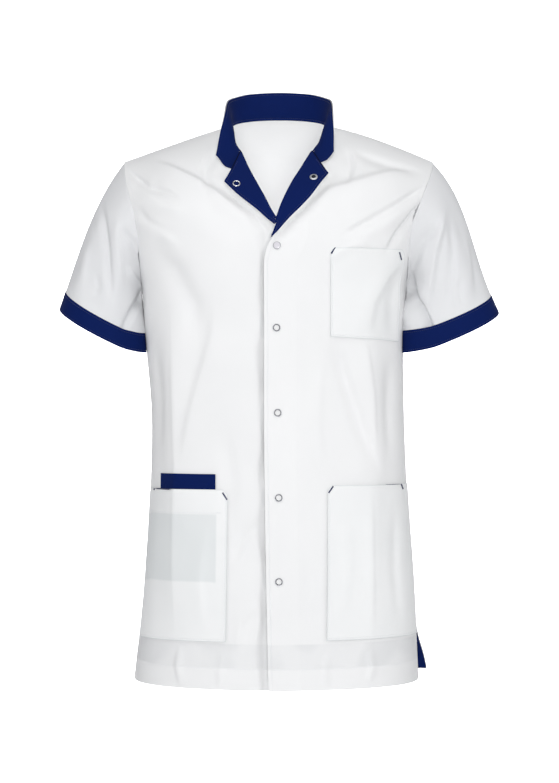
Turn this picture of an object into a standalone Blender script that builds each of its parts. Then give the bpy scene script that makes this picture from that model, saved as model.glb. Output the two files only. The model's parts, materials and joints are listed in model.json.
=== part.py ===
"""Short-sleeved snap-front tunic in its worn, hollow form, built from its cut panels.

Every panel is a closed wall of cloth. The tables are in millimetres, in the wearer's frame:
+X is the wearer's left, -Y the front and +Z up. The origin is between the two high shoulder points.
"""
import math
from collections import namedtuple

import bmesh
import bpy
import numpy as np
from mathutils import Vector

MM = 0.001
CLOTH = 1.2
LAYER = 1.0
SEAM_GAP = 0.3
PLY_GAP = 0.35
COLLAR_PLY_GAP = 0.7
COLLAR_INNER_DROP = 1.2
OVERLAP_LIFT = 2.2
POCKET_LIFT = 1.2

FRONT_COLUMNS = 14
BACK_HALF_COLUMNS = 12
BODY_ROWS = 20
YOKE_ROWS = 12
SLEEVE_ROWS = 9
CUFF_ROWS = 2
COLLAR_COLUMNS = 26
COLLAR_ROWS = 4
YOKE_LOW_ROWS = 4
SHARP_ANGLE = 50

LEFT = 1
RIGHT = -1
SIDE_NAME = {LEFT: "left", RIGHT: "right"}
SIDE_COLUMN = {LEFT: -1, RIGHT: 0}
BACK_COLUMN = {LEFT: 0, RIGHT: -1}

Front = namedtuple(
    "Front",
    "run centre_y centre_z inner_left inner_right edge_left edge_right side_left side_right "
    "side_y side_z lead turn reach_in reach_out crown_left crown_right",
)
FRONT = [
    Front(0, -124, -781, 0, 0, -15, -14, 196, 204, 0, -776, 0, 90, 0.54, 0.36, 0, 0),
    Front(150, -122, -635, 0, 0, -18, -14, 189, 190, 0, -635, 0, 90, 0.54, 0.36, 0, 0),
    Front(270, -119, -515, 0, 0, -20, -14, 180, 182, 0, -515, 0, 90, 0.54, 0.36, 0, 0),
    Front(370, -116, -415, 0, 0, -21, -14, 176, 180, 0, -415, 0, 90, 0.55, 0.36, 0, 0),
    Front(480, -118, -305, 0, 0, -21, -14, 174.5, 188.5, 0, -305, 0, 90, 0.57, 0.36, 0, 0),
    Front(555, -122, -228, 0, 0, -21, -14, 178, 193, 0, -236, 0, 90, 0.57, 0.34, 0, 0),
    Front(600, -122.5, -187, 0, 0, -20.5, -14, 179, 195, -38, -198, 0, 79, 0.52, 0.28, 0, 0),
    Front(645, -121, -141.6, -4.6, 5.6, -4.6, 5.6, 182, 197, -59, -150, 0, 66, 0.44, 0.26, 0, 0),
    Front(680, -111, -112, 5.5, 18, 5.5, 18, 193, 204, -61, -117, -3, 55, 0.4, 0.27, 3, 3),
    Front(715, -86, -75, 24, 37.6, 24, 37.6, 204, 212, -47, -90, -6, 42, 0.36, 0.27, 6, 5),
    Front(750, -52, -37, 49.5, 57.3, 49.5, 57.3, 211.5, 216.5, -26, -69, -4, 26, 0.34, 0.27, 8, 6),
    Front(780, -14, -7, 67, 69, 67, 69, 215.5, 218.5, -9, -56, -1, 10, 0.33, 0.3, 6, 3),
    Front(805, 12, 3, 70, 70, 70, 70, 217, 219.5, 6, -49, -2, -2, 0.3333, 0.3333, 4, 1),
]
ARMPIT_RUN = 555
YOKE_RUN = 645
TOP_RUN = 805
VENT_RUN = 84

Back = namedtuple("Back", "run centre_y centre_z turn reach_in reach_out")
BACK = [
    Back(0, 122, -779, -90, 0.54, 0.36),
    Back(150, 121, -635, -90, 0.54, 0.36),
    Back(270, 112, -515, -90, 0.54, 0.36),
    Back(370, 99, -415, -90, 0.55, 0.36),
    Back(480, 104, -305, -90, 0.56, 0.36),
    Back(555, 113, -228, -90, 0.56, 0.34),
    Back(600, 117, -185, -79, 0.52, 0.28),
    Back(645, 118, -138, -68, 0.47, 0.24),
]

NECK_BACK_Y = 66
NECK_BACK_Z = 18
NECK_COLUMNS = 4
YokeSlope = namedtuple("YokeSlope", "centre neck tip")
YOKE_BASE_SLOPE = YokeSlope((0, -5, 150), (0, 0, 0), (15, 52, -30))
YOKE_TOP_SLOPE = YokeSlope((0, -85, 120), (0, -95, -165), (8, 35, 0))
SHOULDER_SEAM_LEAN = 0.34

Flare = namedtuple("Flare", "out back up turn")
VENT_FLARE = {LEFT: Flare(13, 14, 12, 62), RIGHT: Flare(1, 3, 0, 6)}

Fold = namedtuple("Fold", "x0 z0 x1 z1 width depth")
FRONT_FOLDS = {
    LEFT: [
        Fold(206, -82, 95, -152, 13, -4.5),
        Fold(196, -112, 80, -190, 17, 3.0),
        Fold(190, -130, 150, -172, 9, -3.0),
        Fold(77, -300, 124, -470, 20, -4.0),
        Fold(125, -470, 128, -720, 22, -3.5),
        Fold(150, -250, 158, -420, 18, -3.0),
        Fold(60, -560, 58, -760, 16, 2.5),
    ],
    RIGHT: [
        Fold(184, -44, 34, -150, 13, -4.5),
        Fold(190, -84, 52, -176, 16, 3.0),
        Fold(208, -66, 150, -112, 9, -3.5),
        Fold(88, -235, 144, -495, 22, -4.5),
        Fold(150, -500, 146, -770, 17, -3.0),
        Fold(168, -290, 160, -470, 14, -2.5),
        Fold(50, -600, 60, -770, 15, 2.5),
    ],
}
BACK_FOLDS = [
    Fold(-160, -180, -40, -330, 22, -4.0),
    Fold(150, -190, 50, -320, 20, -3.5),
    Fold(-120, -380, -60, -520, 20, -4.0),
    Fold(110, -390, 70, -560, 22, -4.0),
    Fold(-20, -420, -35, -760, 24, 3.5),
    Fold(65, -560, 80, -775, 22, -3.5),
    Fold(-120, -540, -128, -770, 20, -3.0),
    Fold(-60, -95, 60, -98, 14, -2.0),
]

SleeveForm = namedtuple("SleeveForm", "top_inner top_outer low_inner low_outer centre_y half_deep dip")
SLEEVES = {
    LEFT: SleeveForm((182.5, -285), (299, -236), (182, -316), (310, -261), 4, 56, 11),
    RIGHT: SleeveForm((-194.5, -289), (-302, -231), (-193.5, -316), (-310.5, -256), 4, 56, 11),
}
SLEEVE_LEAVE = {LEFT: (0.62, -0.6), RIGHT: (0.46, -0.6)}
SLEEVE_LEAVE_HIGH = (0.1, -0.1)
SLEEVE_HEAD_GAP = 0.45
CUFF_SWELL = 0.6
SleeveFold = namedtuple("SleeveFold", "turn start end width depth")
SLEEVE_FOLDS = {
    LEFT: [SleeveFold(0.30, 0.05, 0.95, 0.035, -3.5), SleeveFold(0.38, 0.2, 1.0, 0.03, 3.0),
           SleeveFold(0.16, 0.1, 0.9, 0.03, -3.5), SleeveFold(0.66, 0.1, 1.0, 0.04, -3.5),
           SleeveFold(0.80, 0.2, 0.95, 0.03, -3.0)],
    RIGHT: [SleeveFold(0.37, 0.2, 1.0, 0.03, -3.5), SleeveFold(0.22, 0.1, 1.0, 0.035, -4.0),
            SleeveFold(0.30, 0.3, 1.0, 0.03, 2.5), SleeveFold(0.68, 0.1, 0.95, 0.04, -3.5),
            SleeveFold(0.82, 0.2, 1.0, 0.03, -3.0)],
}

Rise = namedtuple("Rise", "place mid_out mid_y mid_z top_out top_y top_z")
COLLAR_RISE = {
    LEFT: [
        Rise(0.0, 0, 2, 20, 0, 6, 39),
        Rise(0.3, 0, 3, 20, 0, 5, 39),
        Rise(0.42, 0, 2, 20, 1, 2, 37),
        Rise(0.6, 1, 0, 18, 6, -3, 34),
        Rise(0.72, 0, -6, 14, 9, -12, 22),
        Rise(0.86, 2, -12, 3, 17, -11, 8),
        Rise(1.0, 9, -23, -17.5, 26, -10, -1),
    ],
    RIGHT: [
        Rise(0.0, 0, 2, 20, 0, 6, 39),
        Rise(0.3, 0, 3, 20, 0, 5, 39),
        Rise(0.42, 0, 2, 20, 1, 2, 37),
        Rise(0.6, 1, 0, 18, 6, -3, 34),
        Rise(0.72, 0, -6, 14, 9, -12, 22),
        Rise(0.86, 2, -12, 3, 19, -11, 8),
        Rise(1.0, 8, -26, -21, 30, -11, -5),
    ],
}
COLLAR_END_RUN = 752

Lapel = namedtuple("Lapel", "run out_x out_z")
LAPELS = {
    LEFT: [
        Lapel(652, -8.0, -158),
        Lapel(664, 5.0, -141),
        Lapel(680, 20.2, -127.6),
        Lapel(700, 39.5, -110),
        Lapel(725, 56.9, -87),
        Lapel(745, 67.9, -73),
    ],
    RIGHT: [
        Lapel(657, 11.0, -140.0),
        Lapel(680, 27.6, -125.7),
        Lapel(700, 44, -114),
        Lapel(725, 60, -101),
        Lapel(745, 76.3, -85),
    ],
}
LAPEL_ROWS = 9
LAPEL_COLUMNS = 5
LAPEL_LIFT = 3.0
LAPEL_ROOM = 0.6
FACING_SHORT = 1.4
FacingTurn = namedtuple("FacingTurn", "along out")
FACING_TURN = [
    FacingTurn(7.0, -2.1),
    FacingTurn(1.5, -2.1),
    FacingTurn(-1.6, -1.4),
    FacingTurn(-2.3, 0.2),
    FacingTurn(-1.8, 1.7),
    FacingTurn(0.2, 2.7),
]

Pocket = namedtuple("Pocket", "girth_top girth_low width_top width_low top bottom slope chamfer gape")
POCKETS = {
    "pocket_chest": Pocket(70, 70, 122, 122, -176, -298, -6, 7, 1.5),
    "pocket_lower_left": Pocket(66, 64, 156, 166, -501, -712, 2, 7, 2.0),
    "pocket_lower_right": Pocket(71, 73, 149, 156, -507, -714, 0, 7, 1.0),
}
INNER_ROOM = 1.8
INNER_LIFT = 0.8
INNER_POCKET = Pocket(88, 88, 90, 90, -486, -636, 0, 0, 0)

Ring = namedtuple("Ring", "name side x z radius")
RING_SEGMENTS = 14
RING_WIRE_SEGMENTS = 6
SNAP_WIRE = 0.9
SNAP_LIFT = 0.3
FRONT_SNAPS = [
    Ring("snap_front_1", LEFT, -4, -173.8, 5.2),
    Ring("snap_front_2", LEFT, -4, -286, 5.5),
    Ring("snap_front_3", LEFT, -2.4, -402, 5.5),
    Ring("snap_front_4", LEFT, -1, -517.8, 5.5),
    Ring("snap_front_5", LEFT, -0.7, -632, 5.5),
]
LAPEL_SNAP_LIFT = 5.4
LAPEL_SNAPS = [
    Ring("snap_lapel_left", LEFT, 47, -78.5, 5.2),
    Ring("snap_lapel_right", RIGHT, 59, -88, 5.0),
]
CUFF_POWER = 0.9

Finish = namedtuple("Finish", "colour roughness metallic")
WHITE_CLOTH = Finish((0.86, 0.87, 0.89, 1.0), 0.8, 0.0)
NAVY_CLOTH = Finish((0.011, 0.022, 0.13, 1.0), 0.8, 0.0)
SNAP_STEEL = Finish((0.62, 0.62, 0.64, 1.0), 0.3, 1.0)


def clear_objects():
    """Removes whatever the file already holds."""
    for item in list(bpy.data.objects):
        bpy.data.objects.remove(item, do_unlink=True)


def make_material(name, finish):
    """A piece's own plain surface."""
    material = bpy.data.materials.new(name)
    material.use_nodes = True
    shader = material.node_tree.nodes["Principled BSDF"]
    shader.inputs["Base Color"].default_value = finish.colour
    shader.inputs["Roughness"].default_value = finish.roughness
    shader.inputs["Metallic"].default_value = finish.metallic
    return material


def vector(*parts):
    """The parts as a row of numbers."""
    return np.array(parts, dtype=float)


def unit(rows):
    """The rows with a length of one."""
    length = np.linalg.norm(rows, axis=-1, keepdims=True)
    return rows / np.maximum(length, 1e-9)


def ease(value):
    """Smooth step from zero to one."""
    value = np.clip(value, 0.0, 1.0)
    return value * value * (3.0 - 2.0 * value)


def hermite(start, start_slope, end, end_slope, t):
    """Cubic from start to end with the given slopes at the two ends."""
    t2 = t * t
    t3 = t2 * t
    return ((2 * t3 - 3 * t2 + 1) * start + (t3 - 2 * t2 + t) * start_slope
            + (3 * t2 - 2 * t3) * end + (t3 - t2) * end_slope)


def smooth_row(table, at):
    """The table's columns carried smoothly between its rows; the first column is the run."""
    values = np.array(table, dtype=float)
    runs = values[:, 0]
    slopes = np.gradient(values, runs, axis=0)
    steps = np.diff(values, axis=0)
    slopes[1:-1][steps[:-1] * steps[1:] <= 0.0] = 0.0
    low = int(np.clip(np.searchsorted(runs, at, side="right") - 1, 0, len(runs) - 2))
    span = runs[low + 1] - runs[low]
    row = hermite(values[low], slopes[low] * span, values[low + 1], slopes[low + 1] * span,
                  (at - runs[low]) / span)
    return type(table[0])(*row)


def bezier(corners, s):
    """Point of a cubic curve; below zero it goes straight on along its first tangent."""
    start, lead, trail, end = corners
    if s < 0.0:
        return start + 3.0 * s * (lead - start)
    r = 1.0 - s
    return r ** 3 * start + 3 * r * r * s * lead + 3 * r * s * s * trail + s ** 3 * end


def heading(degrees):
    """Level direction at an angle from +X."""
    return vector(math.cos(math.radians(degrees)), math.sin(math.radians(degrees)), 0.0)


def curve_between(start, end, lead_turn, end_turn, reach_in, reach_out):
    """Corners of the cubic from the centre of a section to its side."""
    chord = np.linalg.norm(end - start)
    lead = start + reach_in * chord * heading(lead_turn)
    trail = end - reach_out * chord * heading(end_turn)
    lead[2] = start[2] + (end[2] - start[2]) / 3.0
    trail[2] = end[2] - (end[2] - start[2]) / 3.0
    return start, lead, trail, end


def front_side(side, row):
    """The end of a section at the side seam or the armhole."""
    return vector(row.side_left if side == LEFT else row.side_right, row.side_y, row.side_z)


def front_curve(side, run):
    """Cross-section of one front, in coordinates whose +X points away from the centre."""
    row = smooth_row(FRONT, run)
    inner = row.inner_left if side == LEFT else row.inner_right
    edge = row.edge_left if side == LEFT else row.edge_right
    start = vector(inner, row.centre_y, row.centre_z)
    corners = curve_between(start, front_side(side, row), row.lead, row.turn,
                            row.reach_in, row.reach_out)
    first = (edge - inner) / (3.0 * (corners[1][0] - inner))
    return corners, first, row.crown_left if side == LEFT else row.crown_right


def fold_relief(folds, x, z):
    """Height of the folds' troughs and ridges at a place seen from the front or the back."""
    height = 0.0
    for fold in folds:
        along_x = fold.x1 - fold.x0
        along_z = fold.z1 - fold.z0
        length = math.hypot(along_x, along_z)
        along = ((x - fold.x0) * along_x + (z - fold.z0) * along_z) / length
        across = ((x - fold.x0) * along_z - (z - fold.z0) * along_x) / length
        ends = float(ease(along / (0.3 * length) + 0.2) * ease((length - along) / (0.4 * length) + 0.2))
        height += fold.depth * ends * math.exp(-(across / fold.width) ** 2)
    return height


def bare_front(side, s, run):
    """Point of a front before its folds."""
    corners, _, crown = front_curve(side, run)
    place = bezier(corners, s)
    place[2] += crown * 4.0 * max(s, 0.0) * (1.0 - s)
    return place


def front_normal(side, s, run):
    """Outward normal of a front before its folds."""
    step = 0.01
    ahead = min(s + step, 1.0)
    across = bare_front(side, ahead, run) - bare_front(side, ahead - 2 * step, run)
    low = min(max(run, 4.0), TOP_RUN - 4.0)
    upward = bare_front(side, s, low + 4.0) - bare_front(side, s, low - 4.0)
    return unit(np.cross(across, upward))


def front_point(side, s, run, lift=0.0):
    """A point on the outer face of a front, or moved out from it by a lift."""
    place = bare_front(side, s, run)
    out = fold_relief(FRONT_FOLDS[side], place[0], place[2]) * float(ease((TOP_RUN - run) / 60.0))
    if side == LEFT:
        out += OVERLAP_LIFT * float(1.0 - ease((place[0] - 20.0) / 50.0))
    return place + front_normal(side, s, run) * (out + lift)


def seen_at(side, x, z):
    """The section place and run of a front's point that is seen from the front at x, z."""
    s, run = 0.3, 640.0
    for _ in range(14):
        here = front_point(side, s, run)
        along = (front_point(side, s + 0.01, run) - here) / 0.01
        up = (front_point(side, s, run + 2.0) - here) / 2.0
        jacobian = np.array([[along[0], up[0]], [along[2], up[2]]])
        move = np.linalg.solve(jacobian, np.array([x - here[0], z - here[2]]))
        s = float(np.clip(s + move[0], -0.3, 0.98))
        run = float(np.clip(run + move[1], 2.0, TOP_RUN - 3.0))
    return s, run


def girth_place(side, girth, z):
    """The section place and run at a distance round the front from its centre and a height."""
    lower = FRONT[:9]
    runs = [row.run for row in lower]
    steps = np.linspace(0.0, 1.0, 60)
    s = 0.5
    for _ in range(3):
        heights = [row.centre_z * (1.0 - s) + row.side_z * s for row in lower]
        run = float(np.interp(z, heights, runs))
        path = np.array([bare_front(side, step, run) for step in steps])
        walked = np.concatenate([[0.0], np.cumsum(np.linalg.norm(np.diff(path, axis=0), axis=1))])
        s = float(np.interp(girth, walked, steps))
    return s, run


def mirrored(points, side):
    """The points on their own side of the garment."""
    return points * vector(side, 1.0, 1.0)


def body_runs():
    """The runs of the rows below the armpit."""
    return np.linspace(0.0, ARMPIT_RUN, BODY_ROWS + 1)


def front_grid(side):
    """Rows of outer points from hem to shoulder, columns from the free edge to the side."""
    runs = np.concatenate([body_runs(), np.linspace(ARMPIT_RUN, TOP_RUN, YOKE_ROWS + 1)[1:]])
    rows = []
    for run in runs:
        _, first, _ = front_curve(side, run)
        places = first + (1.0 - first) * np.linspace(0.0, 1.0, FRONT_COLUMNS + 1)
        rows.append([front_point(side, s, run) for s in places])
    return np.array(rows)


def back_curve(side, run):
    """Cross-section of half the back; its vent edge flares over the lowest runs."""
    row = smooth_row(BACK, run)
    end = front_side(side, smooth_row(FRONT, run)) * vector(1.0, -1.0, 1.0)
    open_share = float(ease(1.0 - run / VENT_RUN))
    flare = VENT_FLARE[side]
    end += vector(flare.out, flare.back, flare.up) * open_share
    start = vector(0.0, row.centre_y, row.centre_z)
    return curve_between(start, end, 0.0, row.turn + flare.turn * open_share,
                         row.reach_in, row.reach_out)


def back_half_row(side, run):
    """One row of half the back."""
    corners = back_curve(side, run)
    return np.array([bezier(corners, s) for s in np.linspace(0.0, 1.0, BACK_HALF_COLUMNS + 1)])


def neckline_back(side, share):
    """Back neckline from its centre, share 0, to the high shoulder point, share 1."""
    neck = FRONT[-1]
    turn = share * math.pi / 2.0
    inner = neck.inner_left if side == LEFT else neck.inner_right
    return vector(inner * math.sin(turn),
                  neck.centre_y + (NECK_BACK_Y - neck.centre_y) * math.cos(turn),
                  neck.centre_z + (NECK_BACK_Z - neck.centre_z) * math.cos(turn))


def back_top_row(side):
    """The back's upper edge: half the neckline, then the shoulder seam."""
    neck = [neckline_back(side, i / NECK_COLUMNS) for i in range(NECK_COLUMNS + 1)]
    shares = np.linspace(0.0, 1.0, BACK_HALF_COLUMNS - NECK_COLUMNS + 1)
    seam = [bare_front(side, share, TOP_RUN) for share in shares[1:]]
    return np.array(neck + seam)


def back_half_grid(side):
    """Rows from hem to shoulder, columns from the back's centre to one side."""
    lower = [back_half_row(side, run) for run in body_runs()]
    upper = [back_half_row(side, run) for run in np.linspace(ARMPIT_RUN, YOKE_RUN, YOKE_LOW_ROWS + 1)[1:]]
    base = upper[-1]
    top = back_top_row(side)
    columns = np.arange(BACK_HALF_COLUMNS + 1)
    neck_share = ease(columns / NECK_COLUMNS)[:, None]
    tip_share = ease((columns - NECK_COLUMNS) / (BACK_HALF_COLUMNS - NECK_COLUMNS))[:, None]
    base_slope, top_slope = [
        vector(*slope.centre) + neck_share * vector(*slope.neck) + tip_share * vector(*slope.tip)
        for slope in (YOKE_BASE_SLOPE, YOKE_TOP_SLOPE)
    ]
    for step in range(1, YOKE_ROWS - YOKE_LOW_ROWS + 1):
        t = step / (YOKE_ROWS - YOKE_LOW_ROWS)
        upper.append(hermite(base, base_slope, top, top_slope, t))
    return np.array(lower + upper)


def grid_normals(grid, closed=False):
    """Unit normals of a grid of points, from its row and column directions."""
    if closed:
        across = np.roll(grid, -1, axis=1) - np.roll(grid, 1, axis=1)
    else:
        across = np.gradient(grid, axis=1)
    upward = np.gradient(grid, axis=0)
    return unit(np.cross(across, upward))


def back_grid():
    """The whole back, from the wearer's left side seam to the right one, seen from behind."""
    left = mirrored(back_half_grid(LEFT), LEFT)
    right = mirrored(back_half_grid(RIGHT), RIGHT)
    grid = np.concatenate([left[:, ::-1], right[:, 1:]], axis=1)
    normals = grid_normals(grid)
    height = np.array([[fold_relief(BACK_FOLDS, p[0], p[2]) for p in row] for row in grid])
    rows = np.arange(len(grid))[:, None]
    columns = np.arange(grid.shape[1])[None, :]
    calm = ease((len(grid) - 1 - rows) / 4.0)
    calm = calm * ease(columns / 3.0) * ease((grid.shape[1] - 1 - columns) / 3.0)
    return grid + normals * (height * calm)[..., None]


def split_alike(mesh):
    """Cuts each quad along its first diagonal, so that stacked walls keep their gap."""
    form = bmesh.new()
    form.from_mesh(mesh)
    bmesh.ops.triangulate(form, faces=form.faces[:], quad_method="FIXED")
    form.to_mesh(mesh)
    form.free()


def wall(name, outer, thickness, finish, closed=False, normals=None):
    """Closed wall of cloth: the outer grid, its copy moved inward and the rims between them."""
    rows, columns = outer.shape[:2]
    if normals is None:
        normals = grid_normals(outer, closed)
    inner = outer - normals * thickness
    points = np.concatenate([outer.reshape(-1, 3), inner.reshape(-1, 3)]) * MM
    below = rows * columns
    faces = []
    spans = columns if closed else columns - 1

    def at(row, column):
        return row * columns + column % columns

    for row in range(rows - 1):
        for column in range(spans):
            a, b = at(row, column), at(row, column + 1)
            c, d = at(row + 1, column + 1), at(row + 1, column)
            faces.append((a, b, c, d))
            faces.append((below + c, below + b, below + a, below + d))
    for column in range(spans):
        a, b = at(0, column), at(0, column + 1)
        faces.append((below + a, below + b, b, a))
        a, b = at(rows - 1, column), at(rows - 1, column + 1)
        faces.append((a, b, below + b, below + a))
    if not closed:
        for row in range(rows - 1):
            a, b = at(row, 0), at(row + 1, 0)
            faces.append((a, b, below + b, below + a))
            a, b = at(row, columns - 1), at(row + 1, columns - 1)
            faces.append((below + a, below + b, b, a))
    mesh = bpy.data.meshes.new(name)
    mesh.from_pydata(points.tolist(), [], faces)
    split_alike(mesh)
    mesh.materials.append(make_material(name, finish))
    mesh.shade_smooth()
    mesh.set_sharp_from_angle(angle=math.radians(SHARP_ANGLE))
    piece = bpy.data.objects.new(name, mesh)
    bpy.context.scene.collection.objects.link(piece)
    return piece


def facing_out(grid, side):
    """Columns in the order that makes the mirrored side's normals point outward."""
    return grid if side == LEFT else grid[:, ::-1]


def facing_round(grid, side):
    """Rings from the arm's upper end to its lower one, in the order that makes them face outward."""
    return grid[::-1] if side == LEFT else grid[::-1, ::-1]


def drawn_in(grid, rows=(), columns=()):
    """A grid whose named edge rows and columns stand half a seam gap back from the seam."""
    moved = grid.copy()
    for row in rows:
        inward = 1 if row == 0 else -2
        moved[row] += unit(grid[inward] - grid[row]) * SEAM_GAP / 2
    for column in columns:
        inward = 1 if column == 0 else -2
        moved[:, column] += unit(grid[:, inward] - grid[:, column]) * SEAM_GAP / 2
    return moved


def share_side_seam(front_normals, back_normals):
    """Gives the two cloths the same normals along the closed part of a side seam."""
    vent_rows = round(VENT_RUN / (ARMPIT_RUN / BODY_ROWS))
    seam = slice(vent_rows, BODY_ROWS + 1)
    shared = unit(front_normals[seam] + back_normals[seam])
    front_normals[seam] = shared
    back_normals[seam] = shared


def shoulder_normal(side):
    """Normal of the cloth along a shoulder seam, which slopes forward a little."""
    neck = mirrored(neckline_back(side, 1.0), side)
    tip = mirrored(front_side(side, FRONT[-1]), side)
    return unit(np.cross(vector(0, 1, SHOULDER_SEAM_LEAN), neck - tip) * side)


def loop_normals(front_normals, back_normals, side):
    """Normals of the body's cloth round an armhole, in the order of armhole_loop."""
    ahead = front_normals[BODY_ROWS:, SIDE_COLUMN[side]]
    behind = back_normals[BODY_ROWS:, BACK_COLUMN[side]]
    return np.concatenate([ahead, behind[-2:0:-1]])


def armhole_loop(front, back, side):
    """Armhole points from the armpit up the front to the shoulder and down the back."""
    ahead = front[BODY_ROWS:, SIDE_COLUMN[side]]
    behind = back[BODY_ROWS:, BACK_COLUMN[side]]
    return np.concatenate([ahead, behind[-2:0:-1]])


def cuff_ring(side, count, share, swell=0.0):
    """Ring of the cuff band, share 0 at its top and 1 at its lower edge, from its inner end on."""
    form = SLEEVES[side]
    inner = np.array(form.top_inner) * (1.0 - share) + np.array(form.low_inner) * share
    outer = np.array(form.top_outer) * (1.0 - share) + np.array(form.low_outer) * share
    centre = (inner + outer) / 2.0
    long_half = (outer - inner) / 2.0
    long_half = long_half * (1.0 + swell / np.linalg.norm(long_half))
    ring = []
    for index in range(count):
        turn = 2.0 * math.pi * index / count
        far = -math.cos(turn)
        deep = math.sin(turn)
        far = math.copysign(abs(far) ** CUFF_POWER, far)
        deep = math.copysign(abs(deep) ** CUFF_POWER, deep)
        x, z = centre + long_half * far
        ring.append((x, form.centre_y - deep * (form.half_deep + swell), z - deep * form.dip))
    return np.array(ring)


def sleeve_grid(side, loop):
    """Rows from the armhole to the cuff band, one column for each armhole point."""
    count = len(loop)
    end = cuff_ring(side, count, 0.0)
    arrive = unit(cuff_ring(side, count, 1.0) - end)
    chord = np.linalg.norm(end - loop, axis=1, keepdims=True)
    high = ease((loop[:, 2:3] + 215.0) / 150.0)
    out, down = SLEEVE_LEAVE[side]
    more_out, more_down = SLEEVE_LEAVE_HIGH
    leave = unit(vector(out * side, 0, down) + high * vector(more_out * side, 0, more_down))
    head = loop + leave * SLEEVE_HEAD_GAP
    end = end - arrive * SEAM_GAP
    rows = [hermite(head, leave * chord, end, arrive * chord, t)
            for t in np.linspace(0.0, 1.0, SLEEVE_ROWS + 1)]
    return fold_sleeve(side, np.array(rows))


def fold_sleeve(side, grid):
    """Presses the sleeve's folds into its rows between the armhole and the cuff."""
    normals = grid_normals(grid, closed=True) * side
    count = grid.shape[1]
    for row in range(1, len(grid) - 1):
        t = row / (len(grid) - 1)
        for column in range(count):
            turn = column / count
            height = 0.0
            for fold in SLEEVE_FOLDS[side]:
                ends = float(ease((t - fold.start) / 0.25) * ease((fold.end - t) / 0.2 + 0.4))
                height += fold.depth * ends * math.exp(-((turn - fold.turn) / fold.width) ** 2)
            grid[row, column] += normals[row, column] * height
    return grid


def build_sleeve(side, name, cuff_name, loop, body_normals):
    """One sleeve from its armhole loop, and the contrast band round its lower end."""
    grid = facing_round(sleeve_grid(side, loop), side)
    normals = grid_normals(grid, closed=True)
    body = body_normals if side == LEFT else body_normals[::-1]
    high = ease((grid[-1][:, 2:3] + 200.0) / 60.0)
    normals[-1] = unit(normals[-1] * (1.0 - high) + body * high)
    wall(name, grid, CLOTH, WHITE_CLOTH, closed=True, normals=normals)
    shares = np.linspace(0.0, 1.0, CUFF_ROWS + 1)
    band = np.array([cuff_ring(side, len(loop), share, swell=CUFF_SWELL) for share in shares])
    wall(cuff_name, facing_round(band, side), CLOTH + LAYER, NAVY_CLOTH, closed=True)


def neckline(side):
    """Neckline from the back's centre to the front end of the collar, as a fine line."""
    back = [neckline_back(side, share) for share in np.linspace(0.0, 1.0, 24)]
    front = [bare_front(side, 0.0, run) for run in np.linspace(TOP_RUN, COLLAR_END_RUN, 20)[1:]]
    path = np.array(back + front)
    walked = np.concatenate([[0.0], np.cumsum(np.linalg.norm(np.diff(path, axis=0), axis=1))])
    return path, walked / walked[-1]


def collar_half(side):
    """Collar columns from the back's centre to the front end."""
    path, shares = neckline(side)
    half = COLLAR_COLUMNS // 2
    columns = []
    for index in range(half + 1):
        share = index / half
        base = np.array([np.interp(share, shares, path[:, axis]) for axis in range(3)])
        rise = smooth_row(COLLAR_RISE[side], share)
        start = base + vector(-0.4, 0, 0.9)
        middle = base + vector(rise.mid_out, rise.mid_y, rise.mid_z)
        top = base + vector(rise.top_out, rise.top_y, rise.top_z)
        middle = 2.0 * middle - 0.5 * (start + top)
        column = []
        for w in np.linspace(0.0, 1.0, COLLAR_ROWS + 1):
            column.append((1 - w) ** 2 * start + 2 * w * (1 - w) * middle + w * w * top)
        columns.append(column)
    grid = np.array(columns).transpose(1, 0, 2)
    return mirrored(grid, side)


def collar_grid():
    """Collar rows from the neckline to the free edge, columns from the left end to the right."""
    left = collar_half(LEFT)
    right = collar_half(RIGHT)
    return np.concatenate([left[:, ::-1], right[:, 1:]], axis=1)


def lapel_frames(side):
    """For each row of a lapel: its place and normal on the roll edge, and its outer edge."""
    frames = []
    for run in np.linspace(LAPELS[side][0].run, LAPELS[side][-1].run, LAPEL_ROWS + 1):
        row = smooth_row(LAPELS[side], run)
        _, first, _ = front_curve(side, run)
        roll = front_point(side, first, run)
        away = unit(front_point(side, first + 0.04, run) - roll)
        frames.append((roll, front_normal(side, first, run), away, row.out_x, row.out_z))
    return frames


def lapel_layers(side):
    """Under faces of the lapel's white cloth and of its facing, with the facing's turned-in edge."""
    cloth_rows = []
    facing_rows = []
    for roll, normal, away, out_x, out_z in lapel_frames(side):
        lying = []
        for share in np.linspace(0.0, 1.0, LAPEL_COLUMNS + 1):
            x = roll[0] + (out_x - roll[0]) * max(share, 0.02)
            z = roll[2] + (out_z - roll[2]) * max(share, 0.02)
            s, place_run = seen_at(side, x, z)
            lift = LAPEL_ROOM + LAPEL_LIFT * share
            lying.append((front_point(side, s, place_run), front_normal(side, s, place_run), lift))
        cloth_rows.append([p + n * h for p, n, h in lying])
        stack = LAYER + LAPEL_ROOM
        top = [p + n * (h + stack) for p, n, h in lying[1:]]
        turned = [roll + away * turn.along + normal * turn.out for turn in FACING_TURN]
        facing_rows.append(turned + top)
    return np.array(cloth_rows), np.array(facing_rows)


def flipped_wall(name, under, thickness, finish):
    """Wall whose given grid is its under face, with the thickness on the far side."""
    normals = grid_normals(under)
    wall(name, under + normals * thickness, thickness, finish, normals=normals)


def build_lapel(side, name, facing_name):
    """A lapel lying on its front, and the facing that covers it a little short of its edge."""
    cloth, facing = lapel_layers(side)
    facing[:, -1] += unit(facing[:, -2] - facing[:, -1]) * FACING_SHORT
    cloth = facing_out(mirrored(cloth, side), side)
    facing = facing_out(mirrored(facing, side), side)
    flipped_wall(name, cloth, LAYER, WHITE_CLOTH)
    flipped_wall(facing_name, facing, LAYER, NAVY_CLOTH)


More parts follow.
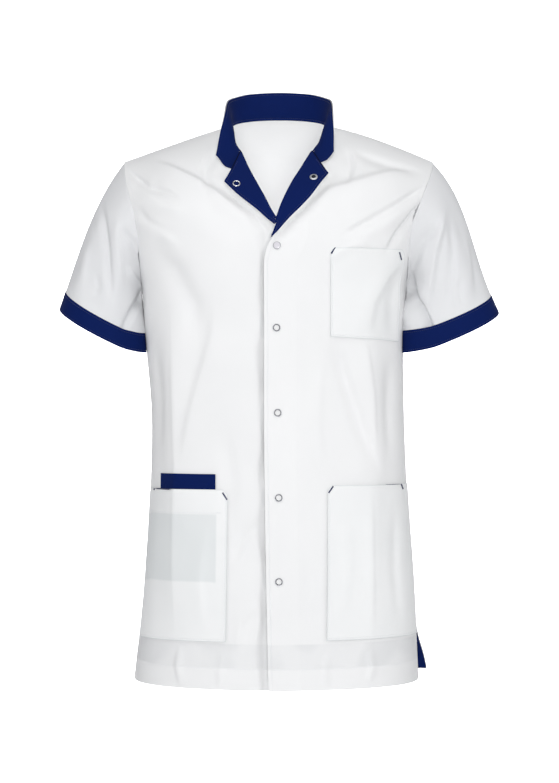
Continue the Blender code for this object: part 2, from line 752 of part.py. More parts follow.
def pocket_grid(side, pocket, columns, rows, over_inner):
    """Pocket cloth over a front, from bottom to top, its upper corners cut off aslant."""
    grid = []
    shares_up = np.linspace(0.0, 1.0, rows)
    shoulder = 1.0 - pocket.chamfer / (pocket.top - pocket.bottom)
    shares_up = np.concatenate([shares_up[:-1], [shoulder, 1.0]])
    cut = pocket.chamfer / pocket.width_top
    shares_out = np.concatenate([[0.0, cut], np.linspace(0.0, 1.0, columns)[1:-1], [1.0 - cut, 1.0]])
    for up in shares_up:
        line = []
        for out in shares_out:
            z = pocket.bottom + pocket.slope * out * (1.0 - up) + (pocket.top - pocket.bottom) * up
            start = pocket.girth_low + (pocket.girth_top - pocket.girth_low) * up
            width = pocket.width_low + (pocket.width_top - pocket.width_low) * up
            corner = 0.42 * pocket.chamfer if up == 1.0 and out in (0.0, 1.0) else 0.0
            girth = start + width * out + (corner if out == 0.0 else -corner)
            s, run = girth_place(side, girth, z - corner)
            gape = pocket.gape * float(ease((up - 0.8) / 0.2)) * math.sin(math.pi * out)
            room = INNER_ROOM * float(ease(out / 0.1) * ease((0.85 - out) / 0.12) * ease(up / 0.3))
            line.append(front_point(side, s, run, POCKET_LIFT + gape + room * over_inner))
        grid.append(line)
    return facing_out(mirrored(np.array(grid), side), side)


def build_pocket(name, side, columns, rows, over_inner=False):
    """A patch pocket of the table, bowed out a little where an inner pocket lies under it."""
    grid = pocket_grid(side, POCKETS[name], columns, rows, over_inner)
    flipped_wall(name, grid, LAYER, WHITE_CLOTH)


def plain_pocket_grid(side, pocket, columns, rows, lift):
    """Square pocket cloth over a front, from bottom to top."""
    grid = []
    for up in np.linspace(0.0, 1.0, rows):
        line = []
        for out in np.linspace(0.0, 1.0, columns):
            z = pocket.bottom + (pocket.top - pocket.bottom) * up
            s, run = girth_place(side, pocket.girth_low + pocket.width_low * out, z)
            line.append(front_point(side, s, run, lift))
        grid.append(line)
    return facing_out(mirrored(np.array(grid), side), side)


def vent_columns(side):
    """The back's columns next to one side seam."""
    return slice(0, 2) if side == LEFT else slice(-2, None)


def vent_facing_grid(back, normals, side):
    """Strip inside the back's vent edge, over its lowest rows."""
    rows = round(VENT_RUN / (ARMPIT_RUN / BODY_ROWS)) + 1
    return (back - normals * (CLOTH + PLY_GAP))[:rows, vent_columns(side)]


def ring_on(ring, place, normal):
    """Open snap ring: a wire torus laid on the cloth."""
    bpy.ops.mesh.primitive_torus_add(
        major_segments=RING_SEGMENTS,
        minor_segments=RING_WIRE_SEGMENTS,
        major_radius=(ring.radius - SNAP_WIRE) * MM,
        minor_radius=SNAP_WIRE * MM,
        location=tuple((place + normal * (SNAP_WIRE + SNAP_LIFT)) * MM))
    wire = bpy.context.object
    wire.name = ring.name
    wire.rotation_mode = "QUATERNION"
    wire.rotation_quaternion = Vector((0.0, 0.0, 1.0)).rotation_difference(normal.tolist())
    wire.data.materials.append(make_material(ring.name, SNAP_STEEL))
    wire.data.shade_smooth()


def shared_seam_normals(fronts, back):
    """Normals of the fronts and the back, alike along the side and the shoulder seams."""
    front_normals = {side: grid_normals(fronts[side]) for side in fronts}
    back_normals = grid_normals(back)
    for side in (LEFT, RIGHT):
        ahead = front_normals[side][:, SIDE_COLUMN[side]]
        share_side_seam(ahead, back_normals[:, BACK_COLUMN[side]])
        ridge = shoulder_normal(side)
        front_normals[side][-1] = ridge
        back_top = back_normals[-1] if side == LEFT else back_normals[-1][::-1]
        back_top[:BACK_HALF_COLUMNS - NECK_COLUMNS + 1] = ridge
    return front_normals, back_normals


def build_body():
    """The two fronts, the back, the sleeves with their cuffs and the vents' facings."""
    fronts = {side: facing_out(mirrored(front_grid(side), side), side) for side in (LEFT, RIGHT)}
    back = back_grid()
    front_normals, back_normals = shared_seam_normals(fronts, back)
    for side in (LEFT, RIGHT):
        grid = drawn_in(fronts[side], rows=(-1,), columns=(SIDE_COLUMN[side],))
        wall("front_" + SIDE_NAME[side], grid, CLOTH, WHITE_CLOTH, normals=front_normals[side])
    back = drawn_in(back, rows=(-1,), columns=(0, -1))
    wall("back", back, CLOTH, WHITE_CLOTH, normals=back_normals)
    for side in (LEFT, RIGHT):
        name = SIDE_NAME[side]
        loop = armhole_loop(fronts[side], back, side)
        normals = loop_normals(front_normals[side], back_normals, side)
        build_sleeve(side, "sleeve_" + name, "cuff_" + name, loop, normals)
        strip = vent_facing_grid(back, back_normals, side)
        strip_normals = back_normals[:len(strip), vent_columns(side)]
        wall("vent_facing_" + name, strip, LAYER, NAVY_CLOTH, normals=strip_normals)


def build_collar():
    """The collar's outer cloth and its contrast inner cloth, which ends below the free edge."""
    collar = collar_grid()
    wall("collar_outer", collar, LAYER, WHITE_CLOTH)
    inward = collar - grid_normals(collar) * (LAYER + COLLAR_PLY_GAP)
    inward[-1] += unit(inward[-2] - inward[-1]) * COLLAR_INNER_DROP
    wall("collar_inner", inward, LAYER, NAVY_CLOTH)


def build_pockets():
    """The chest pocket, the two lower pockets and the contrast pocket behind one of them."""
    build_pocket("pocket_chest", LEFT, 8, 8)
    build_pocket("pocket_lower_left", LEFT, 9, 11)
    build_pocket("pocket_lower_right", RIGHT, 9, 11, over_inner=True)
    inner = plain_pocket_grid(RIGHT, INNER_POCKET, 6, 8, INNER_LIFT)
    flipped_wall("pocket_inner", inner, LAYER, NAVY_CLOTH)


def build_snaps():
    """The snap rings down the front overlap and on the lapels."""
    for ring in FRONT_SNAPS:
        s, run = seen_at(ring.side, ring.x, ring.z)
        ring_on(ring, front_point(ring.side, s, run), front_normal(ring.side, s, run))
    for ring in LAPEL_SNAPS:
        s, run = seen_at(ring.side, ring.x, ring.z)
        place = mirrored(front_point(ring.side, s, run, LAPEL_SNAP_LIFT), ring.side)
        ring_on(ring, place, mirrored(front_normal(ring.side, s, run), ring.side))


def build():
    """The whole tunic."""
    clear_objects()
    build_body()
    build_collar()
    build_lapel(LEFT, "lapel_left", "lapel_facing_left")
    build_lapel(RIGHT, "lapel_right", "lapel_facing_right")
    build_pockets()
    build_snaps()


build()
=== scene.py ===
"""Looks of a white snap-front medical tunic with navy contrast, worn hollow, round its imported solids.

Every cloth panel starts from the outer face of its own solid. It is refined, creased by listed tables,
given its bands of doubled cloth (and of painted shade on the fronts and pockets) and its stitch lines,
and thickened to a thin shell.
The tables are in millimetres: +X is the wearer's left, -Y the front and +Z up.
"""
from __future__ import annotations

import json
import logging
import math
from contextlib import contextmanager
from dataclasses import dataclass, field
from enum import Enum
from functools import cache
from typing import Any, Callable, Iterator

import bmesh
import bpy
import numpy as np
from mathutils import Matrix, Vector
from mathutils.bvhtree import BVHTree
from mathutils.kdtree import KDTree

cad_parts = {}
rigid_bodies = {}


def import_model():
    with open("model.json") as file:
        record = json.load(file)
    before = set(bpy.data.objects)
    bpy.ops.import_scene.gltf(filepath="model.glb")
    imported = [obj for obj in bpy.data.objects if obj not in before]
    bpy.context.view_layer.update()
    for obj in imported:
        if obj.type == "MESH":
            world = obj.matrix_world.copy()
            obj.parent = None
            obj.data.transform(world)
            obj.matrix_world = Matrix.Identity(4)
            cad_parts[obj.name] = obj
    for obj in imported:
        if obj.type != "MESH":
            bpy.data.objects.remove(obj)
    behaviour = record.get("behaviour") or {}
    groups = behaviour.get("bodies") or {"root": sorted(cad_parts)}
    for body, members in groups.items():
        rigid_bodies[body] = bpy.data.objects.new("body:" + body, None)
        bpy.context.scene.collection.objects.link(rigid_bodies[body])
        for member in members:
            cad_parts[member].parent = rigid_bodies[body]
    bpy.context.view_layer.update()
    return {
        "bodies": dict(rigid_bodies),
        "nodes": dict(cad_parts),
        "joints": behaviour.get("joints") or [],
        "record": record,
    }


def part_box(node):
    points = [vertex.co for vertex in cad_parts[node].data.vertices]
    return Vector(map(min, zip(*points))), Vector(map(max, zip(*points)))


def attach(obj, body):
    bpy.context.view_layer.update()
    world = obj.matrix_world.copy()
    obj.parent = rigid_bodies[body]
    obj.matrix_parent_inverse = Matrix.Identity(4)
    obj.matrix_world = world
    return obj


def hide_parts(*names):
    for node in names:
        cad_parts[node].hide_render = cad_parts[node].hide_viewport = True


LOG = logging.getLogger("tunic")
MM = 0.001
BODY = "root"
SIDES = {"left": 1.0, "right": -1.0}
QUAD_ANGLE = math.radians(70)
CLOTH_ANGLE = math.radians(48)
SNAP_ANGLE = math.radians(35)
STITCH_LIFT = 0.12
# A band that begins at the very edge begins here, so that its soft border stays off the cloth.
BEFORE_EDGE = -5.0

# What makes reliefs and picks parts of a rim: it gets places in millimetres, and the directions there.
PerPoint = Callable[[np.ndarray, np.ndarray], np.ndarray]


class Face(Enum):
    """The side of the garment that a crease shows on."""

    FRONT = -1.0
    REAR = 1.0


class Slot(Enum):
    """The record's material slots."""

    WHITE = "white_cloth"
    NAVY = "navy_cloth"
    STEEL = "snap_steel"


def linear(code: str) -> tuple[float, float, float, float]:
    """Turns an sRGB hex value to a linear colour.

    Args:
        code: The colour as "#rrggbb".

    Returns:
        Red, green, blue and alpha, linear.
    """
    parts = [int(code[i:i + 2], 16) / 255.0 for i in (1, 3, 5)]
    red, green, blue = [p / 12.92 if p <= 0.04045 else ((p + 0.055) / 1.055) ** 2.4 for p in parts]
    return red, green, blue, 1.0


def add_node(tree: bpy.types.NodeTree, kind: str, inputs: dict[Any, Any] | None = None,
             out: int | str = 0, feeds: bpy.types.NodeSocket | None = None,
             **settings: Any) -> bpy.types.NodeSocket:
    """Adds one node with its settings, values and links.

    Args:
        tree: The tree that gets the node.
        kind: The node's type, without its leading "ShaderNode".
        inputs: For each input's name or number, a value or the socket that feeds it.
        out: The output that is wanted.
        feeds: A socket that the output is linked to.
        **settings: The node's own properties.

    Returns:
        The wanted output.
    """
    node = tree.nodes.new("ShaderNode" + kind)
    for name, value in settings.items():
        setattr(node, name, value)
    for name, value in (inputs or {}).items():
        if isinstance(value, bpy.types.NodeSocket):
            tree.links.new(value, node.inputs[name])
        else:
            node.inputs[name].default_value = value
    if feeds is not None:
        tree.links.new(node.outputs[out], feeds)
    return node.outputs[out]


def per_size(size_mm: float) -> float:
    """A noise texture's scale for patches of a real size in millimetres."""
    return 1.0 / (size_mm * MM)


def smooth(value: np.ndarray) -> np.ndarray:
    """Smooth step from zero to one."""
    value = np.clip(value, 0.0, 1.0)
    return value * value * (3.0 - 2.0 * value)


def unit(rows: np.ndarray) -> np.ndarray:
    """The rows with a length of one."""
    return rows / np.maximum(np.linalg.norm(rows, axis=-1, keepdims=True), 1e-12)


def lengths_along(line: np.ndarray) -> np.ndarray:
    """How far each point of a line is from its first one, along the line."""
    return np.concatenate([[0.0], np.cumsum(np.linalg.norm(np.diff(line, axis=0), axis=1))])


def add_object(name: str, data: bpy.types.ID) -> bpy.types.Object:
    """Puts new data into the scene as an object."""
    thing = bpy.data.objects.new(name, data)
    bpy.context.scene.collection.objects.link(thing)
    return thing


def only(piece: bpy.types.Object | None = None) -> None:
    """Deselects every object, so that an operator acts on the given piece or on what it adds alone."""
    for other in bpy.context.scene.objects:
        other.select_set(False)
    if piece is not None:
        piece.select_set(True)
        bpy.context.view_layer.objects.active = piece


@contextmanager
def editing(piece: bpy.types.Object, action: str = "SELECT") -> Iterator[None]:
    """Holds a piece in edit mode.

    Args:
        piece: The piece to edit.
        action: "SELECT" or "DESELECT", for all of its mesh at the start.

    Yields:
        Nothing.
    """
    only(piece)
    bpy.ops.object.mode_set(mode="EDIT")
    bpy.ops.mesh.select_all(action=action)
    yield
    bpy.ops.object.mode_set(mode="OBJECT")


def apply_modifier(piece: bpy.types.Object, kind: str, **settings: Any) -> None:
    """Adds a modifier to a piece and applies it.

    Args:
        piece: The piece to change.
        kind: The modifier's type.
        **settings: The modifier's properties.
    """
    only(piece)
    modifier = piece.modifiers.new(kind.lower(), kind)
    for name, value in settings.items():
        setattr(modifier, name, value)
    bpy.ops.object.modifier_apply(modifier=modifier.name)


def apply_place() -> None:
    """Moves the active piece's place, turn and size into its mesh."""
    bpy.ops.object.transform_apply(location=True, rotation=True, scale=True)


# Finishes


THIN_WHITE = "#DEDFE0"
THICK_WHITE = "#F3F3F3"
SLEEVE_WHITE = "#DADBDD"
# The pockets' thin colour: the navy pocket showing through the lower right one, and painted shade along
# every pocket's edge.
SHOWN_THROUGH_AND_EDGE_SHADE = "#D2D7D8"
NAVY_DYE = "#03174A"
NAVY_LIT = "#061C57"
NAVY_SEAM = "#010620"


def new_material(name: str, levels: dict[str, Any]) -> tuple[bpy.types.Material, bpy.types.Node, Any]:
    """Starts a material with its even settings.

    Args:
        name: The material's name.
        levels: Values of the shader's own inputs.

    Returns:
        The material, its shader and the object coordinates.
    """
    material = bpy.data.materials.new(name)
    material.use_nodes = True
    shader = material.node_tree.nodes["Principled BSDF"]
    for socket, value in levels.items():
        shader.inputs[socket].default_value = value
    return material, shader, add_node(material.node_tree, "TexCoord", out="Object")


@dataclass(frozen=True)
class Band:
    """A band of tone between two distances from an edge of the panel, in millimetres: doubled or covered
    cloth, and on some panels painted shade.
    """

    attribute: str
    low: float
    high: float
    tone: float
    step: float = 0.3
    within: str = ""
    within_low: float = 0.0
    soft: float = 0.7
    patchy: float = 0.0


@dataclass(frozen=True)
class Groove:
    """A stitch line's dent at a distance from an edge of the panel, in millimetres."""

    attribute: str
    place: float


@dataclass(frozen=True)
class Poplin:
    """Piece-dyed polyester and cotton poplin: a smooth, matt, tight plain weave.

    A single layer lets the dark inside show, so it reads a little greyer than doubled cloth.
    """

    name: str
    bands: tuple[Band, ...] = ()
    grooves: tuple[Groove, ...] = ()
    thin: str = THIN_WHITE
    thick: str = THICK_WHITE
    thread_mm: float = 1.3
    weave_mm: float = 0.012
    crumple_mm: float = 0.55
    pucker_mm: float = 0.3
    dent_mm: float = 0.22
    roughness: float = 0.78
    sheen: float = 0.12
    base: float = 0.55
    gloss: float = 0.25

    @cache
    def material(self) -> bpy.types.Material:
        """Builds the cloth's nodes: tone by layers and by painted shade bands, weave, soft crumple and
        puckered edges.

        Returns:
            The material.
        """
        material, shader, place = new_material(self.name, {
            "Roughness": self.roughness, "Sheen Weight": self.sheen, "Specular IOR Level": self.gloss})
        tree = material.node_tree
        tone, steps = self._bands(tree, place)
        mottle = add_node(tree, "TexNoise", {"Vector": place, "Scale": per_size(90.909), "Detail": 2.0})
        drift = add_node(tree, "MapRange", {"Value": mottle, 1: 0.3, 2: 0.7, 3: -0.06, 4: 0.06})
        share = add_node(tree, "Math", {0: tone, 1: drift}, operation="ADD", use_clamp=True)
        add_node(tree, "Mix", {"Factor": share, 6: linear(self.thin), 7: linear(self.thick)}, 2,
                 shader.inputs["Base Color"], data_type="RGBA")
        height = add_node(tree, "Math", {0: self._relief(tree, place), 1: steps}, operation="ADD")
        add_node(tree, "Bump", {"Height": height, "Distance": 1.0, "Strength": 1.0},
                 feeds=shader.inputs["Normal"])
        return material

    def _bands(self, tree: bpy.types.NodeTree, place: Any) -> tuple[Any, Any]:
        """Adds the masks of the bands: doubled cloth, and on some panels painted shade.

        Args:
            tree: The material's tree.
            place: Socket of the object coordinates.

        Returns:
            The summed tone and the summed step in height, in metres: sockets, or numbers without bands.
        """
        tone: Any = self.base
        steps: Any = 0.0
        for band in self.bands:
            source = add_node(tree, "Attribute", out="Fac", attribute_name=band.attribute)
            limits = [(source, band.low, 0.0), (source, band.high, 1.0)]
            if band.within:
                side = add_node(tree, "Attribute", out="Fac", attribute_name=band.within)
                limits.append((side, band.within_low, 0.0))
            mask: Any = 1.0
            for distance, limit, before in limits:
                share = add_node(tree, "MapRange", {
                    "Value": distance, 1: limit - band.soft, 2: limit + band.soft,
                    3: before, 4: 1.0 - before}, interpolation_type="SMOOTHSTEP")
                mask = add_node(tree, "Math", {0: mask, 1: share}, operation="MULTIPLY")
            if band.patchy:
                cloud = add_node(tree, "TexNoise", {
                    "Vector": place, "Scale": per_size(58.8235), "Detail": 1.0})
                share = add_node(tree, "MapRange", {
                    "Value": cloud, 1: 0.42, 2: 0.56, 3: 1.0 - band.patchy, 4: 1.0})
                mask = add_node(tree, "Math", {0: mask, 1: share}, operation="MULTIPLY")
            tone = add_node(tree, "Math", {0: mask, 1: band.tone, 2: tone}, operation="MULTIPLY_ADD")
            steps = add_node(tree, "Math", {0: mask, 1: band.step * MM, 2: steps},
                             operation="MULTIPLY_ADD")
        return tone, steps

    def _relief(self, tree: bpy.types.NodeTree, place: Any) -> Any:
        """Adds weave, crumple, edge puckers and stitch dents.

        Args:
            tree: The material's tree.
            place: Socket of the object coordinates.

        Returns:
            Socket of the height in metres.
        """
        cloth = add_node(tree, "UVMap", uv_map="cloth")
        # Real threads lie 0.3 mm apart; they are drawn coarser, so that the weave just shows.
        turn = 2.0 * math.pi / (self.thread_mm * MM)
        height: Any = self.weave_mm * MM
        for axis in ("X", "Y"):
            thread = add_node(tree, "SeparateXYZ", {0: cloth}, axis)
            phase = add_node(tree, "Math", {0: thread, 1: turn}, operation="MULTIPLY")
            wave = add_node(tree, "Math", {0: phase}, operation="SINE")
            height = add_node(tree, "Math", {0: height, 1: wave}, operation="MULTIPLY")
        edge = add_node(tree, "Attribute", out="Fac", attribute_name="edge")
        near = add_node(tree, "MapRange", {"Value": edge, 1: 1.0, 2: 11.0, 3: 1.0, 4: 0.0},
                        interpolation_type="SMOOTHSTEP")
        ripple = add_node(tree, "TexNoise", {"Vector": place, "Scale": per_size(8.33333), "Detail": 1.0})
        layers = [(add_node(tree, "Math", {0: ripple, 1: near}, operation="MULTIPLY"), self.pucker_mm)]
        for size, depth in ((45.4545, self.crumple_mm), (15.3846, self.crumple_mm * 0.22)):
            cloud = add_node(tree, "TexNoise", {
                "Vector": place, "Scale": per_size(size), "Detail": 2.0, "Roughness": 0.45,
                "Distortion": 0.6})
            layers.append((cloud, depth))
        for groove in self.grooves:
            away = add_node(tree, "Attribute", out="Fac", attribute_name=groove.attribute)
            away = add_node(tree, "Math", {0: away, 1: groove.place}, operation="SUBTRACT")
            away = add_node(tree, "Math", {0: away}, operation="ABSOLUTE")
            layers.append((add_node(tree, "MapRange", {"Value": away, 1: 0.0, 2: 2.2, 3: -1.0, 4: 0.0},
                                    interpolation_type="SMOOTHSTEP"), self.dent_mm))
        for layer, depth in layers:
            height = add_node(tree, "Math", {0: layer, 1: depth * MM, 2: height},
                              operation="MULTIPLY_ADD")
        return height


def navy(name: str, inset: float | None, crumple: float, **settings: Any) -> Poplin:
    """Navy cloth: dyed deep, with hardly any sheen.

    Args:
        name: The end of its name.
        inset: How far from the edge its stitch line dents it, in millimetres.
        crumple: The depth of its crumple, in millimetres.
        **settings: Other fields of Poplin.

    Returns:
        The finish.
    """
    grooves = () if inset is None else (Groove("edge", inset),)
    return Poplin(**{"name": "navy_poplin_" + name, "thin": NAVY_DYE, "thick": NAVY_LIT, "grooves": grooves,
                     "crumple_mm": crumple, "sheen": 0.01, "gloss": 0.08} | settings)


@dataclass(frozen=True)
class SewingThread:
    """Spun polyester thread: a dull, slightly fuzzy twist."""

    name: str
    colour: str

    @cache
    def material(self) -> bpy.types.Material:
        """Builds the thread's nodes: its colour, with a fine twist in the bump."""
        material, shader, place = new_material(self.name, {
            "Base Color": linear(self.colour), "Roughness": 0.7, "Sheen Weight": 0.2})
        tree = material.node_tree
        twist = add_node(tree, "TexNoise", {"Vector": place, "Scale": per_size(0.384615), "Detail": 1.0})
        add_node(tree, "Bump", {"Height": twist, "Distance": 0.1 * MM, "Strength": 0.6},
                 feeds=shader.inputs["Normal"])
        return material


@dataclass(frozen=True)
class NickelledBrass:
    """Stamped brass, nickel-plated and tumbled: bright, with soft handling marks."""

    name: str
    colour: str
    roughness: float

    @cache
    def material(self) -> bpy.types.Material:
        """Builds the metal's nodes: plating with a roughness that drifts over the stamping."""
        material, shader, place = new_material(self.name, {
            "Base Color": linear(self.colour), "Metallic": 1.0})
        tree = material.node_tree
        marks = add_node(tree, "TexNoise", {"Vector": place, "Scale": per_size(1.11111), "Detail": 3.0})
        add_node(tree, "MapRange", {
            "Value": marks, 1: 0.3, 2: 0.7, 3: self.roughness - 0.06, 4: self.roughness + 0.1},
            feeds=shader.inputs["Roughness"])
        add_node(tree, "Bump", {"Height": marks, "Distance": 0.03 * MM, "Strength": 0.4},
                 feeds=shader.inputs["Normal"])
        return material


@dataclass(frozen=True)
class PearlCap:
    """Moulded acetal snap cap with a pearl pigment: a glossy, faintly clouded white."""

    name: str
    colour: str
    shade: str

    @cache
    def material(self) -> bpy.types.Material:
        """Builds the cap's nodes: a clouded pearl base under a smooth skin."""
        material, shader, place = new_material(self.name, {"Roughness": 0.25, "Coat Weight": 0.3})
        tree = material.node_tree
        cloud = add_node(tree, "TexNoise", {"Vector": place, "Scale": per_size(2.38095), "Detail": 2.0})
        add_node(tree, "Mix", {"Factor": cloud, 6: linear(self.colour), 7: linear(self.shade)}, 2,
                 shader.inputs["Base Color"], data_type="RGBA")
        return material


@dataclass(frozen=True)
class StudioPaper:
    """Matt seamless background paper."""

    name: str
    colour: str

    @cache
    def material(self) -> bpy.types.Material:
        """Builds the paper's nodes: a flat tone with the faintest tooth."""
        material, shader, place = new_material(self.name, {
            "Base Color": linear(self.colour), "Roughness": 0.95})
        tree = material.node_tree
        tooth = add_node(tree, "TexNoise", {"Vector": place, "Scale": per_size(3.33333)})
        add_node(tree, "Bump", {"Height": tooth, "Distance": 0.1 * MM, "Strength": 0.2},
                 feeds=shader.inputs["Normal"])
        return material


# Creases


@dataclass(frozen=True)
class Crease:
    """A fold seen from the front or the rear: its line in X and Z, and its ridge or trough."""

    path: tuple[tuple[float, float], ...]
    height: float
    sharp: float
    soft: float
    face: Face

    def relief(self, points: np.ndarray, normals: np.ndarray) -> np.ndarray:
        """Height that the crease adds.

        Args:
            points: Places in millimetres.
            normals: Outward normals there.

        Returns:
            Heights in millimetres.
        """
        flat = points[:, [0, 2]]
        line = np.array(self.path, dtype=float)
        spans = np.diff(line, axis=0)
        lengths = np.linalg.norm(spans, axis=1)
        starts = np.concatenate([[0.0], np.cumsum(lengths)])
        best = np.full(len(flat), 1e9)
        signed = np.zeros(len(flat))
        along = np.zeros(len(flat))
        for start, span, length, before in zip(line, spans, lengths, starts):
            way = flat - start
            share = np.clip(way @ span / length ** 2, 0.0, 1.0)
            distance = np.linalg.norm(way - share[:, None] * span, axis=1)
            closer = distance < best
            best = np.where(closer, distance, best)
            side = np.sign(span[0] * way[:, 1] - span[1] * way[:, 0])
            signed = np.where(closer, side * distance, signed)
            along = np.where(closer, before + share * length, along)
        total = starts[-1]
        fade = smooth(along / (0.3 * total)) * smooth((total - along) / (0.35 * total))
        width = np.where(signed > 0.0, self.sharp, self.soft)
        seen = smooth(normals[:, 1] * self.face.value * 2.5 + 0.4)
        return self.height * fade * np.exp(-(signed / width) ** 2) * seen


def creases(face: Face, *folds: tuple[Any, ...]) -> tuple[Crease, ...]:
    """Creases of one side, each given as its line, its height and its sharp and soft widths."""
    return tuple(Crease(*fold, face) for fold in folds)


BODY_CREASES = creases(
    Face.FRONT,
    # Wearer's right front: drag lines from the shoulder, then the waist and the hip
    (((-190, -48), (-150, -66), (-103, -91), (-50, -130), (-28, -149)), 8.4, 6.0, 22.8),
    (((-218, -58), (-181, -89), (-153, -99), (-130, -112)), -5.2, 2.8, 6.2),
    (((-195, -93), (-163, -116), (-122, -129)), 2.4, 4.6, 11.4),
    (((-201, -112), (-182, -140), (-149, -161)), -2.4, 5.5, 7.6),
    (((-188, -167), (-146, -205), (-119, -255), (-112, -317)), -4.9, 13.8, 16.1),
    (((-133, -483), (-115, -385), (-91, -296), (-84, -235)), 4.6, 7.4, 20.9),
    (((-142, -790), (-144, -602), (-141, -480), (-144, -371), (-152, -190)), 6.0, 18.0, 26.0),
    (((-142, -740), (-144, -602), (-141, -480), (-144, -371), (-150, -225)), 1.5, 3.0, 6.0),
    (((-174, -289), (-165, -385), (-167, -480)), -2.7, 7.4, 8.5),
    (((-100, -548), (-110, -630), (-104, -711)), 2.2, 6.4, 11.4),
    (((-24, -548), (-48, -572), (-65, -610)), -2.0, 4.6, 8.5),
    (((-27, -657), (-54, -687), (-59, -738)), 2.0, 4.6, 8.5),
    (((-78, -412), (-65, -493), (-70, -575)), -2.2, 9.2, 13.3),
    (((-134, -779), (-140, -749), (-135, -718)), 2.4, 3.7, 6.6),
    (((-80, -782), (-82, -752), (-77, -722)), 1.9, 3.7, 6.6),
    # Wearer's left front: drag lines, the pull at the underarm and the V below the chest pocket
    (((25, -136), (69, -100), (116, -85), (159, -72), (202, -66)), 6.4, 7.6, 22.8),
    (((78, -164), (123, -138), (161, -115), (214, -79)), -5.4, 3.0, 5.2),
    (((99, -167), (137, -148), (180, -118)), 2.2, 4.6, 8.5),
    (((142, -188), (165, -152), (184, -128), (206, -100)), -4.6, 3.2, 6.2),
    (((175, -183), (148, -213), (127, -251), (118, -304)), 4.1, 7.4, 19.0),
    (((171, -197), (156, -248), (159, -310)), -3.2, 8.3, 9.5),
    (((72, -292), (96, -368), (118, -436), (136, -500)), -6.0, 7.4, 11.0),
    (((116, -250), (126, -374), (127, -490), (125, -602), (128, -790)), 5.0, 18.0, 26.0),
    (((116, -290), (126, -374), (130, -470)), 2.2, 3.6, 8.0),
    (((153, -317), (149, -398), (153, -480)), -3.0, 8.3, 8.5),
    (((123, -490), (125, -602), (127, -735)), 1.6, 3.2, 8.0),
    (((161, -521), (159, -616), (167, -706)), -2.4, 6.4, 7.6),
    (((58, -317), (52, -412), (58, -493)), 2.0, 7.4, 15.2),
    (((89, -527), (95, -602), (86, -695)), 1.6, 7.4, 11.4),
    (((42, -602), (36, -670), (44, -732)), -1.8, 7.4, 9.5),
    (((120, -779), (126, -749), (120, -719)), 2.2, 3.7, 6.6),
    (((65, -779), (61, -752), (66, -725)), 1.8, 3.7, 6.6),
    (((94, -28), (99, -60), (90, -96)), -4.4, 4.5, 9.0),
    (((98, -38), (150, -57), (208, -70)), -3.6, 5.0, 8.0),
    (((-97, -112), (-103, -66), (-88, -28)), -5.6, 5.0, 9.0),
    (((-206, -132), (-168, -150), (-131, -178)), 2.6, 4.0, 9.0),
    (((60, -196), (92, -176), (128, -166)), 1.8, 4.0, 8.0),
    # The hollows beside the outer edges of the lapels
    (((-98, -76), (-80, -91), (-54, -115), (-37, -129), (-18, -151), (-12, -188)), -5.0, 3.2, 9.0),
    (((-16, -196), (-8, -164), (21, -132), (39, -116), (68, -80), (84, -62)), -5.0, 3.2, 9.0),
) + creases(
    Face.REAR,
    # The same kinds of fold on the back
    (((-195, -78), (-119, -140), (-54, -197)), 4.6, 7.4, 19.0),
    (((-190, -129), (-135, -197), (-100, -289)), -3.8, 9.2, 12.3),
    (((-40, -186), (69, -129), (197, -80)), 4.3, 8.3, 19.0),
    (((91, -273), (137, -197), (188, -123)), -3.8, 9.2, 11.4),
    (((-54, -602), (-59, -453), (-32, -346)), 3.5, 8.3, 17.1),
    (((52, -346), (74, -466), (63, -630)), 3.5, 7.4, 17.1),
    (((-114, -657), (-130, -521), (-114, -398)), -3.5, 9.2, 13.3),
    (((126, -385), (142, -521), (129, -670)), -3.5, 9.2, 13.3),
    (((6, -575), (-5, -670), (3, -772)), 2.4, 8.3, 13.3),
    (((-46, -25), (1, -36), (50, -28)), 1.6, 5.5, 10.4),
    (((-92, -55), (-16, -66), (69, -58)), -1.4, 7.4, 10.4),
    (((-89, -779), (-84, -738), (-92, -700)), 2.0, 4.6, 7.6),
    (((91, -779), (85, -741), (93, -703)), 2.0, 4.6, 7.6),
)

SLEEVE_CREASES = creases(
    Face.FRONT,
    (((-250, -100), (-239, -174), (-232, -258)), -5.0, 4.0, 5.7),
    (((-227, -121), (-223, -180), (-217, -248)), 3.0, 4.6, 8.5),
    (((-223, -141), (-202, -168), (-190, -202)), -3.5, 4.6, 5.7),
    (((-212, -197), (-201, -216), (-190, -238)), 2.4, 3.7, 6.6),
    (((-184, -207), (-197, -238), (-215, -283), (-227, -312)), -5.2, 2.2, 4.8),
    (((-266, -161), (-272, -199), (-277, -232)), 2.0, 4.6, 7.6),
    (((-258, -243), (-252, -227), (-255, -205)), -1.6, 3.7, 4.8),
    (((224, -132), (198, -167), (184, -200), (178, -236)), -5.6, 6.0, 8.0),
    (((233, -110), (216, -180), (209, -235), (206, -290)), 5.0, 4.4, 8.5),
    (((237, -112), (242, -180), (235, -238), (227, -270)), -3.2, 5.5, 6.6),
    (((178, -202), (190, -228), (203, -253), (212, -286), (222, -315)), -9.0, 2.6, 6.6),
    (((183, -236), (190, -262), (196, -296)), 3.6, 4.8, 4.8),
    (((257, -142), (265, -197), (267, -246)), 2.4, 4.6, 8.5),
    (((254, -257), (250, -235), (252, -210)), -1.9, 3.7, 5.7),
) + creases(
    Face.REAR,
    (((-240, -107), (-244, -175), (-240, -235)), 3.2, 5.5, 9.5),
    (((-214, -148), (-212, -197), (-223, -248)), -3.0, 5.5, 8.5),
    (((-266, -153), (-274, -197), (-276, -235)), -2.2, 5.5, 8.5),
    (((232, -112), (239, -180), (229, -251)), 3.2, 5.5, 9.5),
    (((210, -148), (205, -202), (216, -259)), -3.2, 5.5, 8.5),
    (((265, -161), (276, -205), (278, -240)), 2.2, 5.5, 8.5),
)

